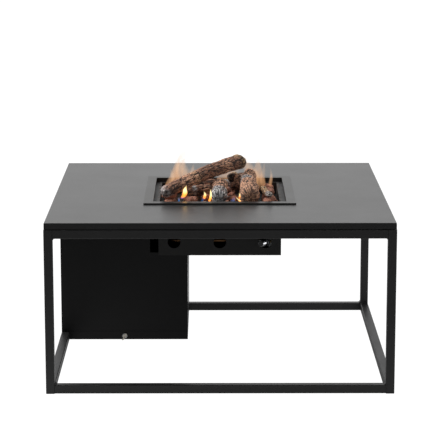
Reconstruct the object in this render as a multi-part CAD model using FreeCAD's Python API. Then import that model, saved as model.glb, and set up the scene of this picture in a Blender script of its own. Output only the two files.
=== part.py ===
import FreeCAD, Part
import math
import os

# Square gas fire pit table. Millimetres, +Z up, front towards -Y.
# The origin is the centre of the footprint, on the floor.

os.makedirs("parts", exist_ok=True)
V = FreeCAD.Vector

# Frame of welded square tube
frame_side = 1000.0
frame_top = 480.0
tube = 25.0
tube_wall = 1.5
tube_corner = 2.0
weld_throat = 5.0
glide_head = 1.0
glide_plug = 14.0
glide_clearance = 0.2

# Tabletop, a folded steel tray on thin spacer pads
top_inset = 1.25
top_sheet = 2.0
top_depth = 18.0
top_bend = 2.0
top_flange = 20.0
seam_width = 0.6
shadow_gap = 2.0
fixing_offset = 300.0
pad_side = 16.0
screw_radius = 2.5
screw_head_radius = 5.0
screw_head_height = 3.0
screw_clearance = 0.3
screw_reach = 6.0

# Burner opening, from the tabletop inwards
rim_lap = 25.0
cutout_clearance = 1.5
ledge_width = 14.5
rim_rise = 4.4
rim_sheet = 1.5
rim_edge = 0.8
ledge_drop = 9.0
support_gap = 2.0

# Burner box hanging in the opening
box_half = 183.5
box_sheet = 1.5
box_bottom = 337.0
hole_radius = 19.0
hole_end_room = 46.7
hole_height = 377.4

# Pan that holds the stones
pan_sheet = 1.2
pan_clearance = 0.3
pan_lip = 6.0
pan_depth = 36.0

# Burner, an H of square steel tube on four feet
burner_side_room = 83.5
burner_end_room = 63.5
burner_width = 20.0
burner_height = 22.0
burner_wall = 1.5
burner_foot = 4.0
burner_foot_side = 10.0
port_length = 10.0
port_width = 1.5
port_pitch = 24.0
ports_per_leg = 9
mixer_radius = 12.5
mixer_wall = 1.5
mixer_length = 55.0
mixer_window_width = 9.0
mixer_window_height = 14.0
mixer_clearance = 0.3
injector_height = 10.0
injector_radius = 7.0
injector_nose_radius = 4.5
injector_nose = 6.0

# Gas pipes
pipe_radius = 4.0
pipe_bend = 22.0
lead_radius = 1.5
lead_bend = 10.0
inlet_end_room = 43.5
inlet_barb_radius = 4.5
inlet_barb_length = 30.0
inlet_barbs = 3
inlet_barb_pitch = 8.0
inlet_nut_radius = 8.0
inlet_nut_height = 6.0

# Gas valve and knob, on one level axis that leans to the left
valve_lean = 35.0
valve_drop = 1.4
knob_end_room = 61.0
knob_stands_out = 14.5
knob_radius = 10.75
knob_length = 25.0
knob_rim = 1.1
knob_face_depth = 1.2
knob_edge = 0.6
knob_bore_depth = 14.0
stem_radius = 4.0
stem_flat = 3.0
stem_shoulder_radius = 5.4
stem_shoulder = 1.5
stem_clearance = 0.05
collar_radius = 6.6
collar_thick = 2.0
push_travel = 4.0
push_spare = 0.5
bracket_sheet = 2.0
bracket_half_height = 16.0
bracket_inner_reach = 12.0
bracket_foot = 16.0
valve_radius = 15.0
valve_chamfer = 3.0
valve_length = 34.0
valve_front_boss = 8.0
valve_port_radius = 6.2
valve_port_length = 25.0

# Flame sensor and spark electrode, beside the burner's right leg
probe_gap = 8.0
probe_spacing = 80.0
probe_radius = 2.2
probe_height = 31.0
probe_nut_radius = 5.0
probe_nut_height = 5.0
probe_tail = 20.0
spark_body_radius = 3.5
spark_body_height = 22.0
spark_wire_radius = 0.9
sensor_lead_drop = 16.0
spark_lead_drop = 24.0

# Lava stones
stone_size = 45.0
stone_height = 26.0
stone_chamfer = 7.0
stone_pitch = 55.0
stone_wall_room = 33.5
stone_inner_x = 31.0
stone_bar_room = 8.0

# Gas bottle housing in the rear left corner
house_width = 400.0
house_depth = 400.0
panel_sheet = 1.5
panel_recess = 0.4
door_gap = 0.3
door_bottom = 2.5
door_lap = 1.5
notch_width = 117.9
notch_bottom = 283.4
door_top_gap = 4.0
tray_lift = 1.5
tray_rim = 15.0
tray_vent_radius = 20.0
tray_vent_offset = 110.0

# Hinges at the top of the door
hinge_drop = 5.0
knuckle_radius = 4.5
knuckle_length = 20.0
hinge_pin_radius = 2.5
pin_overhang = 1.0
hinge_fit = 0.05
hinge_ear = 2.0
hinge_ear_gap = 0.3
hinge_spacing = 170.0
hinge_plate_depth = 16.0
panel_relief = 8.0

# Wing screw at the foot of the door
screw_x = -300.0
screw_z = 13.0
wing_shank_radius = 3.0
wing_reach = 5.0
wing_foot = 1.5
wing_hub_radius = 6.0
wing_hub_height = 9.0
wing_half_span = 12.4
wing_tip_radius = 4.0
wing_thick = 2.6
wing_rise = 17.0
wing_turn = 32.0
washer_radius = 8.0
washer_thick = 1.0
washer_fit = 0.05
insert_bore_gap = 0.3
insert_wall = 1.6
insert_length = 11.0
insert_bulge = 1.4
door_hole_gap = 0.4

# Places worked out from the sizes above
half = frame_side / 2
rail_in = half - tube
frame_foot = glide_head
rail_low_top = frame_foot + tube
rail_high_low = frame_top - tube
skirt_low = frame_top + shadow_gap
table_top = skirt_low + top_depth
top_half = half - top_inset
ledge_top = table_top - ledge_drop
rim_top = table_top + rim_rise
rim_inner_half = box_half + ledge_width
flange_half = rim_inner_half + rim_sheet
cutout_half = flange_half + cutout_clearance
rim_outer_half = cutout_half + rim_lap
support_x = cutout_half + support_gap
hole_spacing = box_half - hole_end_room
knob_x = box_half - knob_end_room
inlet_y = box_half - inlet_end_room
burner_leg_x = box_half - burner_side_room
burner_leg_length = 2 * (box_half - burner_end_room)
pan_half = box_half - box_sheet - pan_clearance
pan_floor = ledge_top - pan_depth
burner_low = pan_floor + burner_foot
burner_top = burner_low + burner_height
mixer_low = burner_low - mixer_length
injector_low = mixer_low - injector_height
house_right = -half + house_width
house_front = half - house_depth
door_back = house_front + panel_sheet
door_left = -half + panel_recess
door_top = rail_high_low - door_top_gap
notch_left = house_right - notch_width
hinge_y = door_back + knuckle_radius
hinge_z = door_top - hinge_drop
hinge_middle = (door_left + notch_left) / 2
pipe_level = hole_height - valve_drop


def block(x0, x1, y0, y1, z0, z1):
    """A box between two corners."""
    return Part.makeBox(x1 - x0, y1 - y0, z1 - z0, V(x0, y0, z0))


def square_block(outer, z0, z1):
    """A square block centred on the vertical axis."""
    return block(-outer, outer, -outer, outer, z0, z1)


def square_ring(outer, inner, z0, z1):
    """A square ring centred on the vertical axis."""
    return square_block(outer, z0, z1).cut(square_block(inner, z0 - 1, z1 + 1))


def rod(start, direction, radius, length):
    """A round bar from a start point along a direction."""
    return Part.makeCylinder(radius, length, start, direction)


def light_rod(start, direction, radius, length, sides=12):
    """A many-sided bar for small hidden parts; its flats lie at the radius."""
    corners = []
    for i in range(sides + 1):
        turn = 2 * math.pi * (i + 0.5) / sides
        reach = radius / math.cos(math.pi / sides)
        corners.append(V(reach * math.cos(turn), reach * math.sin(turn), 0))
    bar = Part.Face(Part.makePolygon(corners)).extrude(V(0, 0, length))
    bar.Placement = FreeCAD.Placement(start, FreeCAD.Rotation(V(0, 0, 1), direction))
    return bar


def rounded_square(side, radius, normal_axis, start):
    """A face of a square with rounded corners, square to an axis, with its low corner at start."""
    a = side - radius
    d = radius * (1 - math.sqrt(0.5))
    flat = [V(radius, 0, 0), V(a, 0, 0), V(side, radius, 0), V(side, a, 0),
            V(a, side, 0), V(radius, side, 0), V(0, a, 0), V(0, radius, 0)]
    bulge = [V(side - d, d, 0), V(side - d, side - d, 0), V(d, side - d, 0), V(d, d, 0)]
    edges = []
    for i in range(4):
        edges.append(Part.LineSegment(flat[2 * i], flat[2 * i + 1]).toShape())
        edges.append(Part.Arc(flat[2 * i + 1], bulge[i], flat[(2 * i + 2) % 8]).toShape())
    face = Part.Face(Part.Wire(edges))
    if normal_axis == "x":
        face.rotate(V(0, 0, 0), V(1, 1, 1), 120)
    if normal_axis == "y":
        face.rotate(V(0, 0, 0), V(1, 1, 1), -120)
    face.translate(start)
    return face


def square_tube(start, axis, length):
    """A hollow square tube; start is its low corner, axis is x, y or z."""
    along = {"x": V(length, 0, 0), "y": V(0, length, 0), "z": V(0, 0, length)}[axis]
    skin = rounded_square(tube, tube_corner, axis, start).extrude(along)
    inner = {"x": V(0, tube_wall, tube_wall), "y": V(tube_wall, 0, tube_wall),
             "z": V(tube_wall, tube_wall, 0)}[axis]
    side = tube - 2 * tube_wall
    size = {"x": (length, side, side), "y": (side, length, side), "z": (side, side, length)}[axis]
    core = Part.makeBox(size[0], size[1], size[2], start + inner)
    return skin.cut(core)


def save(name, shape):
    """Write one piece, or one group of like pieces, as a node."""
    shape.exportStep("parts/" + name + ".step")


def group(shapes):
    """Separate solids kept together."""
    return Part.makeCompound(shapes)


def fixing_places():
    """Centres of the tabletop's screws, two on the left rail and two on the right."""
    line = half - tube / 2
    return [(side * line, along) for side in (-1, 1) for along in (-fixing_offset, fixing_offset)]


def drill_fixings(shape):
    """Clearance holes for the tabletop's screws through a top rail."""
    for x, y in fixing_places():
        drill = light_rod(V(x, y, rail_high_low - 1), V(0, 0, 1), screw_radius + screw_clearance, tube + 2)
        shape = shape.cut(drill)
    return shape


def leg(x_side, y_side):
    """A leg, open at the foot for its glide and closed at the top."""
    x = rail_in if x_side > 0 else -half
    y = rail_in if y_side > 0 else -half
    height = frame_top - frame_foot
    shape = square_tube(V(x, y, frame_foot), "z", height)
    low = frame_top - tube_wall
    cap = block(x + tube_wall, x + tube - tube_wall, y + tube_wall, y + tube - tube_wall, low, frame_top)
    return shape.fuse(cap)


def rail_x(y, z, x0, x1):
    return square_tube(V(x0, y, z), "x", x1 - x0)


def rail_y(x, z, y0, y1):
    return square_tube(V(x, y0, z), "y", y1 - y0)


def weld_bead(corner, along, up, across):
    """A fillet weld in the corner between a leg and a rail."""
    section = Part.makePolygon([corner, corner + along * weld_throat, corner + up * weld_throat, corner])
    return Part.Face(section).extrude(across * (tube - 2 * tube_corner))


def corner_welds():
    """One bead at each end of every rail, on the rail's inner side."""
    beads = []
    low = -half + tube_corner
    high = rail_in + tube_corner
    for side in (-1, 1):
        for level, up in ((rail_low_top, V(0, 0, 1)), (rail_high_low, V(0, 0, -1))):
            for start in (low, high):
                beads.append(weld_bead(V(side * rail_in, start, level), V(-side, 0, 0), up, V(0, 1, 0)))
                beads.append(weld_bead(V(start, side * rail_in, level), V(0, -side, 0), up, V(1, 0, 0)))
    return group(beads)


def foot_block(x, y, inset, z0, z1):
    """A block inside a leg's outline; x and y are the leg's low corner."""
    return block(x + inset, x + tube - inset, y + inset, y + tube - inset, z0, z1)


def leg_glides():
    """Moulded plugs pressed into the feet of the legs."""
    plugs = []
    inset = tube_wall + glide_clearance
    for x in (-half, rail_in):
        for y in (-half, rail_in):
            head = foot_block(x, y, inset / 2, 0, glide_head)
            plug = foot_block(x, y, inset, 0, glide_plug)
            core = foot_block(x, y, 2 * inset, glide_head, glide_plug + 1)
            plugs.append(head.fuse(plug.cut(core)))
    return group(plugs)


def tabletop():
    """A sheet folded down on all sides, with a return flange and a square cut-out."""
    skin = square_block(top_half, skirt_low, table_top)
    top_edges = [e for e in skin.Edges if min(v.Z for v in e.Vertexes) > table_top - 0.01]
    skin = skin.makeFillet(top_bend, top_edges)
    shape = skin.cut(square_block(top_half - top_sheet, skirt_low - 1, table_top - top_sheet))
    flange = square_ring(top_half - top_sheet, top_half - top_flange, skirt_low, skirt_low + top_sheet)
    shape = shape.fuse(flange)
    shape = shape.cut(square_block(cutout_half, skirt_low, table_top + 1))
    for side_x in (-1, 1):
        for side_y in (-1, 1):
            x = side_x * (top_half - top_sheet)
            y = side_y * (top_half - top_sheet / 2)
            seam = block(x - seam_width / 2, x + seam_width / 2, y - top_sheet / 2 - 0.1,
                         y + top_sheet / 2 + 0.1, skirt_low + top_sheet, table_top - top_sheet)
            shape = shape.cut(seam)
    for x, y in fixing_places():
        shape = shape.cut(light_rod(V(x, y, skirt_low - 1), V(0, 0, 1), screw_radius, top_sheet + 2))
    return shape


def tabletop_stiffeners():
    """Two folded channels under the sheet, one over each support rail."""
    low = frame_top + screw_clearance
    high = table_top - top_sheet
    end = top_half - top_flange - 1
    bars = []
    for x0 in (support_x, -support_x - tube):
        outer = block(x0, x0 + tube, -end, end, low, high)
        inner = block(x0 + box_sheet, x0 + tube - box_sheet, -end - 1, end + 1, low + box_sheet, high + 1)
        bars.append(outer.cut(inner))
    return group(bars)


def tabletop_pads():
    """Square pads, two on each top rail, that hold the tabletop off the frame and make the shadow gap."""
    pads = []
    reach = pad_side / 2
    for x, y in fixing_places():
        bore = light_rod(V(x, y, frame_top - 1), V(0, 0, 1), screw_radius + screw_clearance, shadow_gap + 2)
        pads.append(block(x - reach, x + reach, y - reach, y + reach, frame_top, skirt_low).cut(bore))
        pads.append(block(y - reach, y + reach, x - reach, x + reach, frame_top, skirt_low))
    return group(pads)


def tabletop_screws():
    """Hexagon screws from below, through the rails and the pads into the tray's flange."""
    screws = []
    up = V(0, 0, 1)
    head_low = rail_high_low - screw_head_height
    for x, y in fixing_places():
        head = light_rod(V(x, y, head_low), up, screw_head_radius, screw_head_height, 6)
        shank = light_rod(V(x, y, rail_high_low), up, screw_radius, tube + shadow_gap + screw_reach)
        screws.append(head.fuse(shank))
    return group(screws)


def burner_rim():
    """A folded frame that lies on the tabletop and runs down inside the cut-out."""
    plate = square_ring(rim_outer_half, rim_inner_half, table_top, rim_top)
    edges = [e for e in plate.Edges if min(v.Z for v in e.Vertexes) > rim_top - 0.01]
    plate = plate.makeFillet(rim_edge, edges)
    under = square_ring(rim_outer_half - rim_sheet, flange_half, table_top - 1, rim_top - rim_sheet)
    skirt = square_ring(flange_half, rim_inner_half, ledge_top, table_top + rim_edge)
    return plate.cut(under).fuse(skirt)


def box_flange():
    """The flat ring welded round the top of the box, by which it hangs from the rim."""
    return square_ring(flange_half, box_half - box_sheet, ledge_top - box_sheet, ledge_top)


def burner_box():
    """A folded open box with three holes in front."""
    shell = square_block(box_half, box_bottom, ledge_top - box_sheet)
    shell = shell.cut(square_block(box_half - box_sheet, box_bottom + box_sheet, ledge_top))
    for x in (-hole_spacing, 0, hole_spacing):
        shell = shell.cut(rod(V(x, -box_half - 1, hole_height), V(0, 1, 0), hole_radius, box_sheet + 2))
    thread = inlet_barb_radius + mixer_clearance
    return shell.cut(light_rod(V(-box_half - 1, inlet_y, pipe_level), V(1, 0, 0), thread, box_sheet + 2))


def burner_pan():
    """A shallow pan whose lip lies on the box's flange."""
    shell = square_block(pan_half, pan_floor - pan_sheet, ledge_top + pan_sheet)
    shell = shell.cut(square_block(pan_half - pan_sheet, pan_floor, ledge_top + pan_sheet + 1))
    lip = square_ring(pan_half + pan_lip, pan_half - pan_sheet / 2, ledge_top, ledge_top + pan_sheet)
    shell = shell.fuse(lip)
    shell = shell.cut(light_rod(V(0, 0, pan_floor - 2), V(0, 0, 1), mixer_radius + mixer_clearance, 4))
    for place in probe_places():
        shell = shell.cut(light_rod(place - V(0, 0, 2), V(0, 0, 1), spark_body_radius, 4))
    return shell


def burner_bar(grow, length_x, length_y, x):
    """One bar of the H, grown or shrunk by a wall."""
    return block(x - length_x / 2 - grow, x + length_x / 2 + grow, -length_y / 2 - grow,
                 length_y / 2 + grow, burner_low - grow, burner_top + grow)


def burner_h(grow):
    """The H outline of the burner, grown or shrunk by a wall."""
    shape = burner_bar(grow, 2 * burner_leg_x, burner_width, 0)
    for x in (-burner_leg_x, burner_leg_x):
        shape = shape.fuse(burner_bar(grow, burner_width, burner_leg_length, x))
    return shape.removeSplitter()


def burner_tube():
    """The burner: a hollow H with a row of sawn gas slots along each leg, on four feet."""
    shape = burner_h(0).cut(burner_h(-burner_wall))
    for x in (-burner_leg_x, burner_leg_x):
        for i in range(ports_per_leg):
            y = (i - (ports_per_leg - 1) / 2) * port_pitch
            shape = shape.cut(block(x - port_length / 2, x + port_length / 2, y - port_width / 2,
                                    y + port_width / 2, burner_top - burner_wall - 1, burner_top + 1))
        for side in (-1, 1):
            y = side * (burner_leg_length / 2 - burner_width)
            reach = burner_foot_side / 2
            shape = shape.fuse(block(x - reach, x + reach, y - reach, y + reach, pan_floor, burner_low))
    inlet = light_rod(V(0, 0, burner_low - 1), V(0, 0, 1), mixer_radius - mixer_wall - 2, burner_wall + 2)
    return shape.cut(inlet)


def mixer_tube():
    """The air and gas mixing tube below the burner, with four windows for air."""
    up = V(0, 0, 1)
    inner_radius = mixer_radius - mixer_wall
    shape = light_rod(V(0, 0, mixer_low), up, mixer_radius, mixer_length)
    shape = shape.cut(light_rod(V(0, 0, mixer_low + mixer_wall), up, inner_radius, mixer_length))
    shape = shape.cut(light_rod(V(0, 0, mixer_low - 1), up, injector_nose_radius, mixer_wall + 2))
    low = mixer_low + mixer_wall + injector_nose
    high = low + mixer_window_height
    across = mixer_window_width / 2
    span = mixer_radius + 1
    windows = block(-span, span, -across, across, low, high)
    windows = windows.fuse(block(-across, across, -span, span, low, high))
    return shape.cut(windows)


def injector():
    """A hexagonal brass jet on the end of the burner's pipe."""
    body = light_rod(V(0, 0, injector_low), V(0, 0, 1), injector_radius, injector_height, 6)
    nose = light_rod(V(0, 0, mixer_low), V(0, 0, 1), injector_nose_radius, injector_nose)
    return body.fuse(nose)


def bent_pipe(points, radius, bend, sides):
    """A pipe along straight runs joined by equal bends, with a many-sided section."""
    edges = []
    last = points[0]
    for i in range(1, len(points) - 1):
        to_back = (points[i - 1] - points[i]).normalize()
        to_next = (points[i + 1] - points[i]).normalize()
        half_angle = to_back.getAngle(to_next) / 2
        reach = bend / math.tan(half_angle)
        start = points[i] + to_back * reach
        end = points[i] + to_next * reach
        inward = (to_back + to_next).normalize()
        middle = points[i] + inward * (bend / math.sin(half_angle) - bend)
        edges.append(Part.LineSegment(last, start).toShape())
        edges.append(Part.Arc(start, middle, end).toShape())
        last = end
    edges.append(Part.LineSegment(last, points[-1]).toShape())
    path = Part.Wire(edges)
    first = (points[1] - points[0]).normalize()
    end_face = light_rod(points[0], first, radius, 1, sides).Faces
    ring = [f for f in end_face if f.CenterOfMass.distanceToPoint(points[0]) < 0.01][0].OuterWire
    return path.makePipeShell([ring], True, False)


# The valve's axis runs level, back and to the right from the knob's face.
lean = math.radians(valve_lean)
axis = V(math.sin(lean), math.cos(lean), 0)
side = V(math.cos(lean), -math.sin(lean), 0)
knob_face_centre = V(knob_x, -box_half - knob_stands_out, pipe_level)
shoulder_at = knob_length + 2.5
collar_at = shoulder_at + stem_shoulder + stem_clearance
boss_at = collar_at + collar_thick + push_travel + push_spare
plate_at = boss_at + 1.0
body_at = plate_at + bracket_sheet
valve_centre_at = body_at + valve_length / 2
stem_start = knob_length - knob_bore_depth
stem_end = body_at + 14.0


def on_axis(distance):
    """A point on the valve's axis, measured from the knob's face."""
    return knob_face_centre + axis * distance


def turned(at, radius, length):
    """A round piece on the valve's axis."""
    return rod(on_axis(at), axis, radius, length)


def stem_bar(grow, at, length):
    """The stem's round bar with its flat on top, grown by a clearance."""
    bar = light_rod(on_axis(at), axis, stem_radius + grow, length)
    lid = Part.makeBox(4 * stem_radius, length + 2, stem_radius)
    lid.translate(V(-2 * stem_radius, -1, stem_flat + grow))
    lid.rotate(V(0, 0, 0), V(0, 0, 1), -valve_lean)
    lid.translate(on_axis(at))
    return bar.cut(lid)


def control_knob():
    """A chromed sleeve with a shallow round recess for the face and a D-shaped bore."""
    shape = turned(knob_edge, knob_radius, knob_length - knob_edge)
    nose = Part.makeCone(knob_radius - knob_edge, knob_radius, knob_edge, on_axis(0), axis)
    shape = shape.fuse(nose)
    shape = shape.cut(turned(-1, knob_radius - knob_rim, knob_face_depth + 1))
    return shape.cut(stem_bar(stem_clearance, stem_start, knob_bore_depth + 1))


def knob_face():
    """The black disc set into the knob."""
    return turned(0.2, knob_radius - knob_rim, knob_face_depth - 0.2)


def valve_stem():
    """The stem that the knob sits on, with the shoulder that pushes the collar."""
    front = stem_bar(0, stem_start, shoulder_at - stem_start)
    shoulder = turned(shoulder_at, stem_shoulder_radius, stem_shoulder)
    back = turned(shoulder_at, stem_radius, stem_end - shoulder_at)
    return front.fuse([shoulder, back])


def push_collar():
    """The spring seat, a ring on the stem that goes in and out with it but does not turn."""
    ring = turned(collar_at, collar_radius, collar_thick)
    return ring.cut(turned(collar_at - 1, stem_radius + stem_clearance, collar_thick + 2))


def valve_bracket():
    """A folded plate across the corner of the box that carries the valve."""
    inner = -box_half + box_sheet
    centre = on_axis(plate_at)
    reach = (centre.y - inner) / math.sin(lean)
    length = reach + bracket_inner_reach
    plate = Part.makeBox(length, bracket_sheet, 2 * bracket_half_height)
    plate.translate(V(-bracket_inner_reach, 0, -bracket_half_height))
    plate.rotate(V(0, 0, 0), V(0, 0, 1), -valve_lean)
    plate.translate(centre)
    low = pipe_level - bracket_half_height
    high = pipe_level + bracket_half_height
    plate = plate.cut(block(-half, half, inner - tube, inner, low - 1, high + 1))
    foot_x = centre.x + side.x * reach
    foot = block(foot_x - 1, foot_x + bracket_foot, inner, inner + bracket_sheet, low, high)
    opening = light_rod(on_axis(plate_at - 5), axis, valve_front_boss + stem_clearance, bracket_sheet + 10)
    return plate.fuse(foot).cut(opening)


def valve_body():
    """A chamfered cast body with a bored front boss, two hexagonal ports and two lead sockets."""
    width = 2 * valve_radius
    shape = Part.makeBox(width, valve_length, width, V(-valve_radius, 0, -valve_radius))
    shape = shape.makeChamfer(valve_chamfer, shape.Edges)
    shape.rotate(V(0, 0, 0), V(0, 0, 1), -valve_lean)
    shape.translate(on_axis(body_at))
    shape = shape.fuse(turned(boss_at, valve_front_boss, body_at - boss_at + 4))
    centre = on_axis(valve_centre_at)
    shape = shape.fuse(light_rod(centre, V(-1, 0, 0), valve_port_radius, valve_port_length, 6))
    shape = shape.fuse(light_rod(centre, side * -1, valve_port_radius, valve_port_length, 6))
    for place in lead_sockets():
        foot = V(place.x, place.y, pipe_level)
        shape = shape.fuse(light_rod(foot, V(0, 0, 1), stem_radius, valve_radius + 2, 6))
    depth = stem_end + push_travel + 1 - boss_at
    return shape.cut(turned(boss_at - 1, stem_radius + stem_clearance, depth + 1))


def lead_sockets():
    """Places on top of the valve where the two leads end, front and back along its axis."""
    centre = on_axis(valve_centre_at)
    return (centre + axis * 7, centre - axis * 7)


def probe_places():
    """Places of the flame sensor and the spark electrode in the pan's floor."""
    x = burner_leg_x + burner_width / 2 + probe_gap
    return (V(x, probe_spacing / 2, pan_floor), V(x, -probe_spacing / 2, pan_floor))


def probe_nut(place):
    """The nut that holds a probe to the pan's floor from below."""
    low = place.z - pan_sheet - probe_nut_height
    return light_rod(V(place.x, place.y, low), V(0, 0, 1), probe_nut_radius, probe_nut_height, 6)


def thermocouple():
    """The flame sensor's tip, screwed into the pan's floor."""
    place = probe_places()[0]
    body = light_rod(place - V(0, 0, probe_tail), V(0, 0, 1), probe_radius, probe_tail + probe_height)
    top_edges = [e for e in body.Edges if min(v.Z for v in e.Vertexes) > place.z + probe_height - 0.01]
    return body.makeChamfer(probe_radius / 3, top_edges).fuse(probe_nut(place))


def igniter_electrode():
    """A ceramic sleeve with a bare wire tip."""
    place = probe_places()[1]
    sleeve_low = place - V(0, 0, probe_tail)
    sleeve = light_rod(sleeve_low, V(0, 0, 1), spark_body_radius - 0.1, probe_tail + spark_body_height)
    wire = light_rod(place, V(0, 0, 1), spark_wire_radius, probe_height, 6)
    return sleeve.fuse([wire, probe_nut(place)])


def probe_lead(number, drop):
    """The lead from a probe's tail to its socket on the valve."""
    place = probe_places()[number]
    socket = lead_sockets()[number]
    low = place.z - probe_tail - drop
    points = [V(place.x, place.y, place.z - probe_tail), V(place.x, place.y, low),
              V(socket.x, socket.y, low), V(socket.x, socket.y, pipe_level + valve_radius + 2)]
    return bent_pipe(points, lead_radius, lead_bend, 6)


def supply_pipe():
    """The pipe from the inlet, round the front left corner of the box, to the valve."""
    centre = on_axis(valve_centre_at)
    inside = -box_half + box_sheet + inlet_nut_height
    corner_x = inside + pipe_bend + pipe_radius
    points = [V(inside, inlet_y, pipe_level), V(corner_x, inlet_y, pipe_level),
              V(corner_x, centre.y, pipe_level), V(centre.x - valve_port_length, centre.y, pipe_level)]
    return bent_pipe(points, pipe_radius, pipe_bend, 8)


def burner_pipe():
    """The pipe from the valve's outlet to the injector under the burner."""
    start = on_axis(valve_centre_at) - side * valve_port_length
    points = [start, start - side * 45, V(0, 0, pipe_level), V(0, 0, injector_low)]
    return bent_pipe(points, pipe_radius, min(pipe_bend, (injector_low - pipe_level) * 0.9), 8)


def gas_inlet():
    """The ribbed hose nipple through the left wall of the box, with a hexagonal nut each side."""
    wall = -box_half
    across = V(1, 0, 0)
    tip = wall - inlet_nut_height - inlet_barb_length
    nipple = light_rod(V(tip, inlet_y, pipe_level), across, inlet_barb_radius - 1, inlet_barb_length)
    for i in range(inlet_barbs):
        start = V(tip + (i + 0.5) * inlet_barb_pitch, inlet_y, pipe_level)
        nipple = nipple.fuse(light_rod(start, across, inlet_barb_radius, inlet_barb_pitch / 2))
    thread_start = wall - inlet_nut_height
    thread_length = 2 * inlet_nut_height + box_sheet
    thread_place = V(thread_start, inlet_y, pipe_level)
    nipple = nipple.fuse(light_rod(thread_place, across, inlet_barb_radius, thread_length))
    for x in (thread_start, wall + box_sheet):
        nut = light_rod(V(x, inlet_y, pipe_level), across, inlet_nut_radius, inlet_nut_height, 6)
        nipple = nipple.fuse(nut)
    bore_length = inlet_barb_length + thread_length + 2
    bore_place = V(tip - 1, inlet_y, pipe_level)
    return nipple.cut(light_rod(bore_place, across, inlet_barb_radius - 2.5, bore_length))


def stone(x, y, low, size, height, turn, sides=12):
    """One lava stone, a chamfered lump with a flat underside; its first few edges can be cut alone."""
    cut = min(stone_chamfer, height * 0.3)
    brick = Part.makeBox(size, size * 0.86, height)
    edges = sorted(brick.Edges, key=lambda e: abs(e.Vertexes[0].Z - e.Vertexes[-1].Z), reverse=True)
    lump = brick.makeChamfer(cut, edges[:sides])
    lump.translate(V(-size / 2, -size * 0.43, 0))
    lump.rotate(V(0, 0, 0), V(0, 0, 1), turn)
    lump.translate(V(x, y, low))
    return lump


def lava_stones():
    """A lower layer round the burner, and loose stones on top of it."""
    stones = []
    side = box_half - stone_wall_room
    rows = 2 * int(pan_half / stone_pitch)
    for column, x in enumerate((-side, -stone_inner_x, stone_inner_x, side)):
        for row in range(rows):
            y = (row - (rows - 1) / 2) * stone_pitch
            if abs(x) < burner_leg_x:
                y += math.copysign(stone_bar_room, y)
            turn = 17 * (column * rows + row) % 24 - 12
            size = stone_size - 3 * ((column + row) % 3)
            stones.append(stone(x, y, pan_floor, size, stone_height, turn, 4))
    between = (side + stone_inner_x - 1) / 2
    for x in (-between, between):
        for y in (-side - 2, side + 2):
            stones.append(stone(x, y, pan_floor, stone_size - 3, stone_height, x / 9, 4))
    upper = ((-side, 4 - side, 44, 20), (-84, 17 - side, 50, 28), (-38.4, -92, 34, 29), (44, -106, 36, 24),
             (side, -side - 2, 46, 26), (side + 2, -92, 44, 24), (-side - 2, -40, 48, 25),
             (-side, 35, 50, 27), (-100, 62, 46, 29), (side + 2, 20, 48, 25), (side, 78, 40, 27),
             (-40, 48, 42, 29), (20, 46, 34, 24))
    for i, (x, y, size, height) in enumerate(upper):
        stones.append(stone(x, y, burner_top, size, height, 37 * i % 60))
    return group(stones)


def log(start, end, start_radius, end_radius, bow, phase):
    """A ceramic log: nine-sided bark sections from end to end, with a slight bow."""
    along = end - start
    along_unit = V(along.x, along.y, along.z).normalize()
    across = V(0, 0, 1).cross(along_unit).normalize()
    up = along_unit.cross(across)
    stations = 5
    sides = 9
    wires = []
    for i in range(stations):
        t = i / (stations - 1)
        sway = across * (bow * math.sin(math.pi * t))
        centre = start + along * t + sway
        radius = start_radius + (end_radius - start_radius) * t
        ring = []
        for j in range(sides):
            turn = 2 * math.pi * j / sides
            swell = 1 + 0.07 * math.sin(2 * turn + phase) + 0.05 * math.sin(3 * turn - phase)
            reach = radius * swell
            ring.append(centre + across * (reach * math.cos(turn)) + up * (reach * math.sin(turn)))
        ring.append(ring[0])
        wires.append(Part.makePolygon(ring))
    return Part.makeLoft(wires, True, True)


# Logs as they lie: name, start, end, the two radii, bow and bark phase.
logs = (
    ("log_top", V(-170, -146, 519), V(74, 62, 583), 18, 23, -7, 0.4),
    ("log_front", V(-3, -160, 502.8), V(0, -44, 527), 23, 22, 0, 1.3),
    ("log_right", V(90, -160, 508.8), V(94, 100, 536), 29, 21, 4, 2.2),
    ("log_branch", V(152, -168, 516.5), V(131, -36, 515), 9, 10, 3, 0.9),
    ("log_behind", V(-112, -22, 498.8), V(-18, 6, 500.6), 18, 18, 3, 3.0),
    ("log_rear", V(-132, 116, 498.4), V(118, 108, 497.9), 17, 16, -3, 4.1),
    ("log_stub", V(34, 12, 536.15), V(48, 112, 527.8), 13.6, 12.6, 0, 5.2),
)


def left_panel():
    """The sheet between the left rails, with a corner cut away where the door's top edge swings."""
    x = -half + panel_recess
    front = door_back + door_gap
    sheet = block(x, x + panel_sheet, front, rail_in, rail_low_top, rail_high_low)
    relief = block(x - 1, x + panel_sheet + 1, front - 1, front + panel_relief,
                   hinge_z - panel_relief / 2, rail_high_low + 1)
    return sheet.cut(relief)


def rear_panel():
    """The sheet between the rear rails."""
    y = half - panel_recess
    return block(-rail_in, house_right - panel_sheet, y - panel_sheet, y, rail_low_top, rail_high_low)


def right_panel():
    """The inner side, notched for the burner box and let in between the rear rails."""
    front = house_front + door_gap
    front_up = door_back + door_gap
    notch_y = house_front + notch_width
    back = half - panel_recess
    outline = [(front, door_bottom), (rail_in, door_bottom), (rail_in, rail_low_top), (back, rail_low_top),
               (back, rail_high_low), (rail_in, rail_high_low), (rail_in, frame_top), (notch_y, frame_top),
               (notch_y, notch_bottom), (front_up, notch_bottom), (front_up, rail_low_top + door_gap),
               (front, rail_low_top + door_gap), (front, door_bottom)]
    corners = [V(house_right - panel_sheet, y, z) for y, z in outline]
    return Part.Face(Part.makePolygon(corners)).extrude(V(panel_sheet, 0, 0))


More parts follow.
